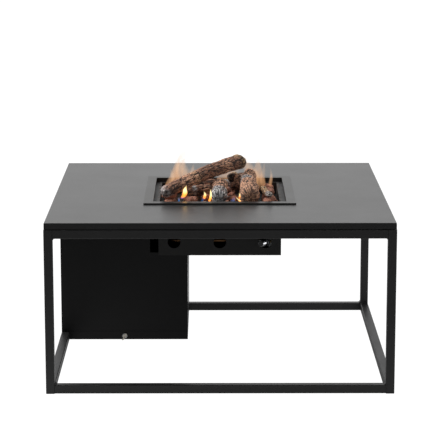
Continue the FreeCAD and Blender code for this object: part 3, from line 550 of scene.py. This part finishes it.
def lava_stone(bm, tone_layer, points, faces, number):
    """One stone: a ball pushed out to its lump, broken off flat in places and pitted."""
    low = Vector([min(p[i] for p in points) for i in range(3)])
    high = Vector([max(p[i] for p in points) for i in range(3)])
    middle = (low + high) / 2
    reach = (high - low) / 2
    hull = BVHTree.FromPolygons(points, faces)
    seed = number * seed_step
    draw = random.Random(number)
    breaks = []
    for _ in range(stone_breaks):
        facing = Vector((draw.gauss(0, 1), draw.gauss(0, 1), draw.gauss(0, 1))).normalized()
        breaks.append(facing / draw.uniform(0.68, 0.92))
    ball = bmesh.ops.create_icosphere(bm, subdivisions=4, radius=1)["verts"]
    for v in ball:
        way = v.co.normalized()
        distance = hull.ray_cast(middle, way)[3]
        oval = stone_edge / math.sqrt(sum((way[i] / reach[i]) ** 2 for i in range(3)))
        span = (distance ** -edge_power + oval ** -edge_power) ** (-1 / edge_power)
        broken = sum(max(0.0, way.dot(facing)) ** break_sharpness for facing in breaks)
        span *= (1 + broken) ** (-1 / break_sharpness)
        spot = middle + way * span
        swell = swell_share * noise.noise(way * 1.9 + seed) + swell_share * noise.noise(way * 5.5 + seed)
        pits = max(0.0, noise.noise(spot * pit_scale + seed) - 0.12)
        pits += 0.6 * max(0.0, noise.noise(spot * fine_pit_scale) - 0.1)
        v.co = middle + way * (span * (0.985 + min(swell, swell_limit)) - pit_depth * pits)
        v[tone_layer] = (number * tone_step) % 1.0


def smooth_object(name, bm, material):
    """Link a modelled mesh as an object with smooth faces that look outwards."""
    bmesh.ops.recalc_face_normals(bm, faces=bm.faces)
    for face in bm.faces:
        face.smooth = True
    mesh = bpy.data.meshes.new(name)
    bm.to_mesh(mesh)
    bm.free()
    mesh.materials.append(material)
    piece = bpy.data.objects.new(name, mesh)
    bpy.context.scene.collection.objects.link(piece)
    return piece


def new_piece(name, bm, material, cad_names, body):
    """A modelled piece that stands for CAD nodes and moves with their body."""
    piece = smooth_object(name, bm, material)
    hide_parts(*cad_names)
    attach(piece, body)


def attribute(tree, name):
    node = tree.nodes.new("ShaderNodeAttribute")
    node.attribute_name = name
    return node.outputs["Fac"]


def cell_node(tree, place, scale, feature="F1"):
    node = tree.nodes.new("ShaderNodeTexVoronoi")
    node.feature = feature
    node.inputs["Scale"].default_value = scale
    tree.links.new(place, node.inputs["Vector"])
    return node.outputs["Distance"]


rock_cloud_scale = 45
rock_grain_scale = 420
small_pore_scale = 330
large_pore_scale = 150
rock_dark = (0.3, 0.098, 0.056)
rock_light = (0.66, 0.29, 0.19)
rock_grey = (0.14, 0.12, 0.115)
rock_dust = (0.6, 0.345, 0.26)
pore_shade_tone = (0.035, 0.016, 0.012)


def lava_rock():
    """Red-brown to grey rock with pale dust, and open pores that are dented and painted near black as their
    shade.
    """
    material, tree, shader = material_base("lava_rock", 0.92)
    place = object_place(tree)
    cloud = noise_node(tree, place, rock_cloud_scale, 5, 0.65)
    grain = noise_node(tree, place, rock_grain_scale, 4, 0.7)
    small_pore = range_node(tree, cell_node(tree, place, small_pore_scale), 0.16, 0.36)
    large_pore = range_node(tree, cell_node(tree, place, large_pore_scale), 0.12, 0.3)
    pore_hollow_and_shade = math_node(tree, "MULTIPLY", small_pore, large_pore)
    tone = two_tone(tree, range_node(tree, cloud, 0.35, 0.65), rock_dark, rock_light)
    grey = math_node(tree, "MULTIPLY", range_node(tree, attribute(tree, "stone_tone"), 0.7, 1.0), 0.45)
    tone = two_tone(tree, grey, tone, rock_grey)
    tone = two_tone(tree, range_node(tree, grain, 0.45, 0.7), tone, rock_dust)
    # Painted shade: the open pores are mixed to a near-black tone that stands for the shade inside them.
    tone = two_tone(tree, pore_hollow_and_shade, pore_shade_tone, tone)
    tree.links.new(tone, shader.inputs["Base Color"])
    tree.links.new(range_node(tree, grain, 0.3, 0.7, 0.84, 0.97), shader.inputs["Roughness"])
    height = math_node(tree, "ADD", math_node(tree, "MULTIPLY", pore_hollow_and_shade, 0.8), grain)
    bump(tree, shader, height, 0.9, 0.0009)
    return material


stones = bmesh.new()
stone_tone = stones.verts.layers.float.new("stone_tone")
for number, (points, faces) in enumerate(stone_lumps(nodes["lava_stones"])):
    lava_stone(stones, stone_tone, points, faces, number)
new_piece("lava_rocks", stones, lava_rock(), ["lava_stones"], "table")


# Logs
# Cast ceramic-fibre logs, painted as charred bark with pale cut ends and ash where the flames
# reach them. Each lies as its solid in the frame, the top one arched up as in the photograph.

log_sides = 88
log_step = 0.0024
end_rings = 7
end_rounding = 0.016
end_taper = 0.42
crack_depth = 0.0024
bark_lift = 0.0017
crack_width = 0.17
crack_pitch_along = 34
crack_pitch_round = 140
crack_wander = 0.55
crack_wander_scale = 45
bark_scale = 60
bark_seed = 6
log_shrink = 0.985
log_oval = 0.07
log_lobes = 0.05
cap_dome = 0.0026
cap_grain = 0.0012
cap_grain_scale = 130
patch_edge = 0.07
patch_wander = 0.05
patch_wander_scale = 55
paints = ("rose", "ash", "tan", "char")


def ring_bar(bm, sides, rings):
    """A closed bar made of rings; gives each vertex with its ring's number and its turn."""
    bmesh.ops.create_cone(bm, cap_ends=True, segments=sides, radius1=1, radius2=1, depth=1)
    long_edges = [e for e in bm.edges if abs(e.verts[0].co.z - e.verts[1].co.z) > 0.5]
    bmesh.ops.subdivide_edges(bm, edges=long_edges, cuts=rings - 2, use_grid_fill=True)
    return [(v, round((v.co.z + 0.5) * (rings - 1)), math.atan2(v.co.y, v.co.x)) for v in bm.verts]


def patch(t, turn, edge, word, centre, spread, side=None):
    """How far a painted patch covers a place on the log, with a ragged edge."""
    facing = 1.0 if side is None else max(0.0, min(1.0, 1.7 * math.cos(turn - side) - 0.5 + edge * 6))
    return facing * max(0.0, min(1.0, (spread - abs(t - centre) + edge) / patch_edge))


def knot_height(knots, t, turn, length, radius):
    """How far the stumps of broken twigs stand out at one place on a log."""
    height = 0.0
    for knot_t, knot_turn, spread, rise in knots:
        off_along = (t - knot_t) * length / spread
        off_round = math.remainder(turn - knot_turn, math.tau) * radius / spread
        height += rise * math.exp(-off_along ** 2 - off_round ** 2)
    return height


def ceramic_log(name, start, end, radii, bends, phase, sawn, paint, knots=()):
    """One log from end to end; the two sawn values say how much bare wood its ends show."""
    start = Vector(start)
    along = Vector(end) - start
    forward = along.normalized()
    across = Vector((0, 0, 1)).cross(forward).normalized()
    up = forward.cross(across)
    stations = int(along.length / log_step)
    bm = bmesh.new()
    layers = {word: bm.verts.layers.float.new(word) for word in ("crack", *paints, "cut_end")}
    bark_place = bm.verts.layers.float_vector.new("bark_place")
    rings = stations + 2 * end_rings
    for v, ring, turn in ring_bar(bm, log_sides, rings):
        from_start = min(ring / end_rings, 1.0)
        from_end = min((rings - 1 - ring) / end_rings, 1.0)
        fill = min(from_start, from_end)
        t = max(0.0, min(1.0, (ring - end_rings) / (stations - 1)))
        swell = 1 + log_oval * math.sin(2 * turn + phase) + log_lobes * math.sin(3 * turn - phase)
        radius = (radii[0] + (radii[1] - radii[0]) * t) * swell * log_shrink
        radial = across * math.cos(turn) + up * math.sin(turn)
        radius += knot_height(knots, t, turn, along.length, radius)
        centre = start + along * t + (across * bends[0] + up * bends[1]) * math.sin(math.pi * t)
        whole = centre + radial * radius
        share = math.sin(fill * math.pi / 2) ** 0.75 if fill < 1.0 else 1.0
        section = Vector((0, math.cos(turn), math.sin(turn))) * (radius * share)
        local = section * crack_pitch_round
        local.x = t * along.length * crack_pitch_along
        warp = noise.noise_vector(whole * crack_wander_scale) * crack_wander
        nearest = noise.voronoi(local + warp + Vector((phase, phase * 2, 0)))[0]
        crack = max(0.0, 1 - (nearest[1] - nearest[0]) / crack_width)
        rough = noise.fractal(whole * bark_scale + Vector((phase, 0, 0)), 0.9, 2.1, 4)
        lift = bark_lift * rough - crack_depth * crack
        from_tip = min(t, 1 - t) * along.length / end_rounding
        taper = 1 - end_taper * max(0.0, 1 - from_tip) ** 2
        whole = centre + radial * (radius * taper)
        if fill < 1.0:
            sign = -1 if from_start < 1.0 else 1
            dome = cap_dome * (1 - share * share) - 0.6 * crack_depth * crack
            dome += cap_grain * noise.noise((centre + radial * (radius * share)) * cap_grain_scale)
            whole = centre + radial * ((radius * taper + lift) * (0.06 + 0.94 * share))
            whole += forward * (sign * dome)
            lift = 0.0
        v.co = whole + radial * lift
        v[bark_place] = section + Vector((t * along.length + phase, 0, 0))
        v[layers["crack"]] = max(crack, min(0.42, -rough * 0.7))
        bare_wood = max(0.0, 1 - from_tip * 0.6 + 0.4 * noise.noise(whole * 90))
        v[layers["cut_end"]] = sawn[0 if t < 0.5 else 1] * bare_wood
        edge = patch_wander * noise.noise(whole * patch_wander_scale + Vector((0, phase, 0)))
        for kind in paints:
            cover = [patch(t, turn, edge, *spot) for spot in paint if spot[0] == kind]
            v[layers[kind]] = max(cover, default=0.0)
    new_piece("bark_" + name, bm, log_paint, [name], "table")


bark_cloud_scale = 34
fleck_scale = 210
fibre_scale = 900
plate_pitch = (85, 300, 300)
plate_wander = (2.2, 2.2, 2.2)
plate_wander_scale = 70
bark_dark = (0.28, 0.115, 0.064)
bark_light = (0.56, 0.28, 0.175)
bark_fleck = (0.6, 0.4, 0.29)
rose_dark = (0.78, 0.3, 0.15)
rose_light = (1.0, 0.66, 0.45)
wood_dark = (0.5, 0.3, 0.15)
wood_light = (0.72, 0.5, 0.29)
ash_grey = (0.4, 0.4, 0.42)
ash_white = (0.95, 0.9, 0.85)
char_black = (0.016, 0.014, 0.014)
fine_crack_tone = (0.03, 0.022, 0.02)
crack_tone = (0.03, 0.026, 0.026)


def vector_node(tree, operation, *values):
    node = tree.nodes.new("ShaderNodeVectorMath")
    node.operation = operation
    for socket, value in zip(node.inputs, values):
        if isinstance(value, tuple):
            socket.default_value = value
        else:
            tree.links.new(value, socket)
    return node.outputs["Vector"]


def painted_bark():
    """Brown bark over dark cracks, then char, tan wood and white ash laid on in patches."""
    material, tree, shader = material_base("painted_bark", 0.88)
    place = object_place(tree)
    cloud = noise_node(tree, place, bark_cloud_scale, 5, 0.62)
    fleck = noise_node(tree, place, fleck_scale, 4, 0.7)
    fine = noise_node(tree, place, fibre_scale, 3, 0.6)
    bark = tree.nodes.new("ShaderNodeAttribute")
    bark.attribute_name = "bark_place"
    wander = tree.nodes.new("ShaderNodeTexNoise")
    wander.inputs["Scale"].default_value = plate_wander_scale
    tree.links.new(place, wander.inputs["Vector"])
    stretched = vector_node(tree, "MULTIPLY", bark.outputs["Vector"], plate_pitch)
    bent = vector_node(tree, "MULTIPLY_ADD", wander.outputs["Color"], plate_wander, stretched)
    fine_crack = range_node(tree, cell_node(tree, bent, 1, "DISTANCE_TO_EDGE"), 0.13, 0.02)
    streaked = range_node(tree, cloud, 0.33, 0.67)
    tone = two_tone(tree, streaked, bark_dark, bark_light)
    tone = two_tone(tree, range_node(tree, fleck, 0.5, 0.7), tone, bark_fleck)
    rose = two_tone(tree, fleck, rose_dark, rose_light)
    tone = two_tone(tree, attribute(tree, "rose"), tone, rose)
    pale = two_tone(tree, cloud, wood_dark, wood_light)
    tan = math_node(tree, "MULTIPLY", attribute(tree, "tan"), range_node(tree, fleck, 0.3, 0.5))
    tone = two_tone(tree, tan, tone, pale)
    white = two_tone(tree, range_node(tree, fleck, 0.4, 0.62), ash_grey, ash_white)
    ash = math_node(tree, "MULTIPLY", attribute(tree, "ash"), range_node(tree, cloud, 0.3, 0.5))
    tone = two_tone(tree, ash, tone, white)
    burnt = math_node(tree, "MULTIPLY", attribute(tree, "char"), range_node(tree, fleck, 0.7, 0.4))
    tone = two_tone(tree, burnt, tone, char_black)
    tone = two_tone(tree, attribute(tree, "cut_end"), tone, pale)
    smooth_tan = math_node(tree, "MULTIPLY", tan, 0.75)
    smooth_wood = math_node(tree, "MAXIMUM", attribute(tree, "cut_end"), smooth_tan)
    smooth_wood = math_node(tree, "MAXIMUM", smooth_wood, math_node(tree, "MULTIPLY", ash, 0.5))
    showing = range_node(tree, smooth_wood, 1.0, 0.0, 0.12, 0.66)
    tone = two_tone(tree, math_node(tree, "MULTIPLY", fine_crack, showing), tone, fine_crack_tone)
    crack = math_node(tree, "MULTIPLY", range_node(tree, attribute(tree, "crack"), 0.05, 0.6), 0.9)
    tone = two_tone(tree, crack, tone, crack_tone)
    tree.links.new(tone, shader.inputs["Base Color"])
    tree.links.new(range_node(tree, fleck, 0.3, 0.7, 0.8, 0.95), shader.inputs["Roughness"])
    height = math_node(tree, "ADD", fleck, math_node(tree, "MULTIPLY", fine, 0.4))
    height = math_node(tree, "SUBTRACT", height, math_node(tree, "MULTIPLY", fine_crack, 0.7))
    bump(tree, shader, height, 0.8, 0.0011)
    return material


log_paint = painted_bark()
# The cracks' wander is drawn anew in every run unless its seed is set.
noise.seed_set(bark_seed)
ceramic_log("log_top", (-0.170, -0.146, 0.519), (0.074, 0.062, 0.583), radii=(0.018, 0.023),
            bends=(-0.007, 0.011), phase=0.4, sawn=(0.0, 1.0),
            paint=(("rose", 0.3, 0.15), ("rose", 0.74, 0.08), ("ash", 0.0, 0.07), ("tan", 0.38, 0.05),
                   ("tan", 0.97, 0.09)))
ceramic_log("log_front", (-0.003, -0.160, 0.5028), (0.002, -0.036, 0.533), radii=(0.023, 0.021),
            bends=(0, 0.002), phase=1.3, sawn=(0.0, 0.5),
            paint=(("rose", 0.75, 0.4), ("ash", 0.05, 0.42)))
ceramic_log("log_right", (0.090, -0.160, 0.5088), (0.094, 0.100, 0.536), radii=(0.029, 0.019),
            bends=(0.004, 0.004), phase=2.2, sawn=(0.0, 0.5),
            paint=(("rose", 0.45, 0.6), ("ash", 0.55, 0.08, 1.0)),
            knots=((0.66, 0.15, 0.016, 0.024), (0.3, 2.9, 0.02, 0.004)))
ceramic_log("log_branch", (0.152, -0.168, 0.5165), (0.131, -0.036, 0.515), radii=(0.009, 0.010),
            bends=(0.003, 0), phase=0.9, sawn=(0.3, 0.8),
            paint=(("tan", 0.6, 0.4), ("ash", 0.05, 0.2)))
ceramic_log("log_behind", (-0.112, -0.022, 0.4988), (-0.018, 0.006, 0.5006), radii=(0.018, 0.018),
            bends=(0.003, 0), phase=3.0, sawn=(0.2, 0.2),
            paint=(("rose", 0.75, 0.15), ("ash", 0.35, 0.1)))
ceramic_log("log_rear", (-0.132, 0.116, 0.4984), (0.118, 0.108, 0.4979), radii=(0.017, 0.016),
            bends=(-0.003, 0), phase=4.1, sawn=(0.8, 0.8),
            paint=(("ash", 0.6, 0.1), ("char", 0.25, 0.12)))
ceramic_log("log_stub", (0.034, 0.012, 0.53615), (0.048, 0.112, 0.5278), radii=(0.0136, 0.0126),
            bends=(0, 0), phase=5.2, sawn=(0.0, 0.8),
            paint=(("char", 0.0, 0.22), ("tan", 0.7, 0.35)))


# Flames
# The burning gas between the logs: a few bright tongues low down, blue ones at the stones and
# wide faint ones behind the logs. They are no solids of the part, so they only ride the table.

flame_sides = 28
flame_rings = 26
flame_skin = 0.0003
flame_sway = 0.12


def flame(bm, rise_layer, cover_layer, base, tip, width, depth, lean, strength):
    """One tongue: a thin lens that narrows to its tip and fades towards its edges."""
    base = Vector(base)
    tip = Vector(tip)
    part = bmesh.new()
    copied = {}
    for v, ring, turn in ring_bar(part, flame_sides, flame_rings):
        t = ring / (flame_rings - 1)
        belly = math.sin(math.pi * min(1.0, 0.1 + t * 0.9) ** 0.75)
        place = base.lerp(tip, t)
        place.x += lean * math.sin(math.pi * t) + flame_sway * width * math.sin(7 * t + base.x * 60)
        place.x += (width / 2 * belly ** 0.85 + flame_skin) * math.cos(turn)
        place.y += (depth / 2 * belly + flame_skin) * math.sin(turn)
        middle = abs(math.sin(turn)) ** 1.6
        ends = math.sin(math.pi * (0.04 + 0.92 * t)) ** 0.8
        copied[v] = bm.verts.new(place)
        copied[v][rise_layer] = t
        copied[v][cover_layer] = strength * middle * ends * (1 - 0.45 * t)
    for face in part.faces:
        bm.faces.new([copied[v] for v in face.verts])
    part.free()


def burning_gas(name, low, middle, high, power):
    """Glowing gas: blue or red at the foot, orange, then yellow; clear at the edges."""
    material, tree, shader = material_base(name, 1.0)
    shader.inputs["Base Color"].default_value = (0, 0, 0, 1)
    shader.inputs["Specular IOR Level"].default_value = 0
    shader.inputs["Emission Strength"].default_value = power
    rise = attribute(tree, "rise")
    lower = range_node(tree, rise, 0.0, 0.14)
    upper = range_node(tree, rise, 0.25, 0.75)
    tone = two_tone(tree, upper, two_tone(tree, lower, low, middle), high)
    streaks = tree.nodes.new("ShaderNodeMapping")
    streaks.inputs["Scale"].default_value = (1, 1, 0.22)
    tree.links.new(object_place(tree), streaks.inputs["Vector"])
    wisps = noise_node(tree, streaks.outputs["Vector"], 80, 3, 0.55)
    thin = range_node(tree, wisps, 0.32, 0.66, 0.35, 1.15)
    cover = math_node(tree, "MULTIPLY", attribute(tree, "cover"), thin, True)
    tree.links.new(tone, shader.inputs["Emission Color"])
    tree.links.new(cover, shader.inputs["Alpha"])
    return material


def burning(name, material, tongues):
    """One piece of several tongues, each with base, tip, width, depth, lean and strength."""
    bm = bmesh.new()
    rise_layer = bm.verts.layers.float.new("rise")
    cover_layer = bm.verts.layers.float.new("cover")
    for tongue in tongues:
        flame(bm, rise_layer, cover_layer, *tongue)
    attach(smooth_object(name, bm, material), "table")


bright_gas = burning_gas("bright_gas", (0.2, 0.08, 0.3), (1.0, 0.3, 0.04), (1.0, 0.8, 0.36), power=2.6)
burning("bright_flames", bright_gas, (
    ((-0.113, -0.124, 0.499), (-0.100, -0.118, 0.538), 0.015, 0.006, 0.002, 1.0),
    ((-0.046, -0.118, 0.495), (-0.046, -0.118, 0.520), 0.009, 0.005, 0.001, 0.75),
    ((-0.031, -0.128, 0.487), (-0.026, -0.126, 0.528), 0.008, 0.005, 0.001, 1.0),
    ((0.066, -0.145, 0.487), (0.050, -0.145, 0.507), 0.009, 0.005, 0.0, 1.0),
    ((0.060, -0.142, 0.500), (0.059, -0.142, 0.520), 0.006, 0.004, 0.0, 0.7)))
blue_gas = burning_gas("blue_gas", (0.03, 0.2, 0.9), (0.06, 0.35, 1.0), (0.5, 0.4, 0.6), power=0.7)
burning("blue_flames", blue_gas, (
    ((-0.123, -0.132, 0.489), (-0.122, -0.132, 0.506), 0.005, 0.004, 0.0, 0.5),
    ((-0.052, -0.126, 0.489), (-0.050, -0.126, 0.505), 0.008, 0.004, 0.0, 0.3),
    ((0.040, -0.138, 0.489), (0.042, -0.138, 0.508), 0.014, 0.004, 0.0, 0.28)))
faint_gas = burning_gas("faint_gas", (0.9, 0.4, 0.14), (0.96, 0.5, 0.24), (1.0, 0.68, 0.46), power=0.95)
burning("faint_flames", faint_gas, (
    ((-0.134, 0.080, 0.488), (-0.092, 0.084, 0.626), 0.04, 0.012, -0.018, 0.44),
    ((-0.118, 0.066, 0.488), (-0.104, 0.070, 0.590), 0.07, 0.012, -0.006, 0.36),
    ((-0.158, 0.070, 0.488), (-0.150, 0.072, 0.556), 0.026, 0.01, 0.004, 0.42),
    ((-0.092, 0.062, 0.488), (-0.084, 0.064, 0.572), 0.024, 0.01, 0.004, 0.38),
    ((0.090, 0.086, 0.488), (0.078, 0.088, 0.598), 0.05, 0.012, 0.012, 0.4),
    ((0.112, 0.080, 0.488), (0.116, 0.082, 0.592), 0.034, 0.01, 0.01, 0.36),
    ((0.140, 0.074, 0.488), (0.138, 0.078, 0.576), 0.018, 0.008, -0.004, 0.34),
    ((0.156, 0.070, 0.488), (0.158, 0.072, 0.558), 0.012, 0.008, 0.003, 0.34),
    ((0.030, 0.120, 0.488), (0.040, 0.122, 0.568), 0.07, 0.012, 0.0, 0.3)))


# Gas valve
# A die-cast body on a folded steel bracket inside the box, with a steel stem and a brass
# collar that moves in when the knob is pushed.

valve_cast = bare_metal("valve_casting", (0.26, 0.26, 0.26), (0.4, 0.4, 0.39), (0.16, 0.15, 0.13),
                        roughness=0.5, spread=0.1, stain=0.4, strength=0.8)
finish(valve_cast, "valve_body")
finish(zinc_steel, "valve_bracket", "valve_stem")
finish(brass, "push_collar")


# Control knob
# A turned and chromed knob with a black inset face, pushed on to the valve's flat-sided stem.
# It leans with the valve and looks out through the right hole of the box.

knob_centre = Vector((0.1225, -0.198, 0.376))
knob_lean = math.radians(35)
knob_in = Vector((math.sin(knob_lean), math.cos(knob_lean), 0))
knob_side = Vector((math.cos(knob_lean), -math.sin(knob_lean), 0))
knob_radius = 0.01075
knob_length = 0.025
bore_radius = 0.00412
bore_floor = 0.011
face_radius = 0.0089
face_depth = 0.0012


def turned(profile, sides=96):
    """A turned piece on the knob's axis; the profile gives depth behind the face and radius."""
    bm = bmesh.new()
    for v, ring, turn in ring_bar(bm, sides, len(profile)):
        depth, radius = profile[ring]
        radial = knob_side * math.cos(turn) + Vector((0, 0, 1)) * math.sin(turn)
        v.co = knob_centre + knob_in * depth + radial * radius
    return bm


def sharp_turned(bm, limit=0.5):
    """Crease the edges between faces that meet at more than the limit."""
    for edge in bm.edges:
        if len(edge.link_faces) == 2 and edge.calc_face_angle() > limit:
            edge.smooth = False


knob_chrome = bare_metal("knob_chrome", (0.5, 0.51, 0.53), (0.58, 0.59, 0.61), (0.32, 0.32, 0.33),
                         roughness=0.09, spread=0.04, stain=0.25, strength=0.06)
knob_back = knob_radius + 0.0009
knob_profile = [(face_depth, 0.0008), (face_depth, face_radius), (0.0003, face_radius), (0.00008, 0.009),
                (0, 0.00912), (0.00008, 0.00926), (0.0004, 0.00941), (0.0012, 0.00966), (0.0026, 0.01004),
                (0.0044, 0.01048), (0.0064, 0.01091), (0.0084, 0.01124), (0.0104, 0.01147),
                (0.0126, 0.0116), (0.0146, knob_back), (knob_length - 0.0008, knob_back),
                (knob_length - 0.0002, knob_back - 0.0004), (knob_length, knob_back - 0.0009),
                (knob_length, bore_radius), (bore_floor, bore_radius), (bore_floor, 0.0005)]
knob_metal = turned(knob_profile)
sharp_turned(knob_metal)
new_piece("chrome_knob", knob_metal, knob_chrome, ["control_knob"], "knob")

knob_black = moulded_plastic("knob_black", (0.006, 0.006, 0.0065), 0.3)
face_profile = [(face_depth - 0.00003, 0.0008), (face_depth - 0.00003, face_radius - 0.0001),
                (0.00055, face_radius - 0.0001), (0.0004, face_radius - 0.0003), (0.0003, 0.0075),
                (0.00024, 0.004), (0.00022, 0.0008)]
knob_inset = turned(face_profile)
sharp_turned(knob_inset)
new_piece("black_inset", knob_inset, knob_black, ["knob_face"], "knob")


# Gas bottle housing
# Powder coated sheets close the rear left quarter of the frame and carry the bottle. The front
# one is the door, hung from two hinges at its top edge.

# Painted light: the sheets share one powder coat. The door, back and tray get a darker, less glossy copy of
# it as painted shade, and the two side sheets a lighter, glossier copy as a painted highlight.
shaded_panel_coat = powder_coat("shaded_panel_powder", (0.0024, 0.0024, 0.0025), (0.0046, 0.0046, 0.0048),
                         roughness=0.34, spread=0.05, dust=0.08, peel=0.5, specular=0.22)
lit_side_coat = powder_coat("lit_side_powder", (0.0035, 0.0035, 0.0036), (0.007, 0.007, 0.0072),
                        roughness=0.24, spread=0.04, dust=0.08, peel=0.4, specular=0.6)
finish(shaded_panel_coat, "rear_panel", "bottle_tray", "access_panel")
finish(lit_side_coat, "left_panel", "right_panel")
finish(frame_coat, "hinge_brackets")
finish(zinc_steel, "hinge_pins", "screw_insert", "captive_washer")


# Wing screw
# A zinc die-cast screw with two rounded wings, turned by hand. It goes through its captive
# washer and the foot of the door into an insert in the frame's cross rail.

screw_seat = Vector((-0.3, 0.09745, 0.013))
wing_turn = math.radians(32)
hub_radius = 0.006
hub_height = 0.009
shank_radius = 0.003
shank_length = 0.00785
thread_pitch = 0.0008
thread_depth = 0.00035
wing_radius = 0.004
wing_thick = 0.0036
wing_edge = 0.0007
wing_root = Vector((0, -0.0046, 0))
wing_tips = (Vector((0, -0.013, 0.0084)), Vector((0, -0.013, -0.0084)))


def screw_hub():
    """Hub and shank in one, turned about the screw's axis, with rolled thread on the shank."""
    profile = [(-hub_height, 0.0006), (-hub_height, 0.0031), (-hub_height + 0.0005, 0.0044),
               (-hub_height + 0.0014, 0.0051), (-0.0016, hub_radius - 0.0002), (-0.0012, hub_radius),
               (-0.0002, hub_radius), (0, hub_radius - 0.0003), (0, shank_radius)]
    turns = int((shank_length - 0.0014) / thread_pitch)
    for i in range(turns):
        crest = (i + 1) * thread_pitch
        profile += [(crest, shank_radius), (crest + thread_pitch / 2, shank_radius - thread_depth)]
    profile += [(shank_length - 0.0004, shank_radius - 0.0001), (shank_length, shank_radius - 0.0006),
                (shank_length, 0.0005)]
    bm = bmesh.new()
    for v, ring, turn in ring_bar(bm, 64, len(profile)):
        depth, radius = profile[ring]
        v.co = Vector((radius * math.cos(turn), depth, radius * math.sin(turn)))
    return bm


def add_wing(bm, tip):
    """One wing, a plate with round ends from the hub out to its tip, with softened edges."""
    plate = bmesh.new()
    bmesh.ops.create_circle(plate, cap_ends=True, segments=40, radius=wing_radius)
    reach = tip - wing_root
    for v in plate.verts:
        spoke = Vector((0, v.co.x, v.co.y))
        centre = tip if spoke.dot(reach) > 0 else wing_root
        v.co = centre + spoke + Vector((-wing_thick / 2, 0, 0))
    raised = bmesh.ops.extrude_face_region(plate, geom=list(plate.faces))["geom"]
    for v in raised:
        if isinstance(v, bmesh.types.BMVert):
            v.co.x += wing_thick
    bmesh.ops.recalc_face_normals(plate, faces=plate.faces)
    rims = [e for e in plate.edges if abs(e.verts[0].co.x - e.verts[1].co.x) < 0.0001]
    bmesh.ops.bevel(plate, geom=rims, offset=wing_edge, affect="EDGES", segments=3, profile=0.5, material=-1)
    copied = {v: bm.verts.new(v.co) for v in plate.verts}
    for face in plate.faces:
        bm.faces.new([copied[v] for v in face.verts])
    plate.free()


cast_zinc = bare_metal("cast_zinc", (0.5, 0.47, 0.4), (0.66, 0.63, 0.55), (0.3, 0.26, 0.24),
                       roughness=0.4, spread=0.12, stain=0.5, strength=0.7, metallic=0.35)
wing_head = screw_hub()
for tip in wing_tips:
    add_wing(wing_head, tip)
wing_head.transform(Matrix.Translation(screw_seat) @ Matrix.Rotation(wing_turn, 4, "Y"))
sharp_turned(wing_head)
new_piece("cast_wing_screw", wing_head, cast_zinc, ["wing_screw"], "screw")
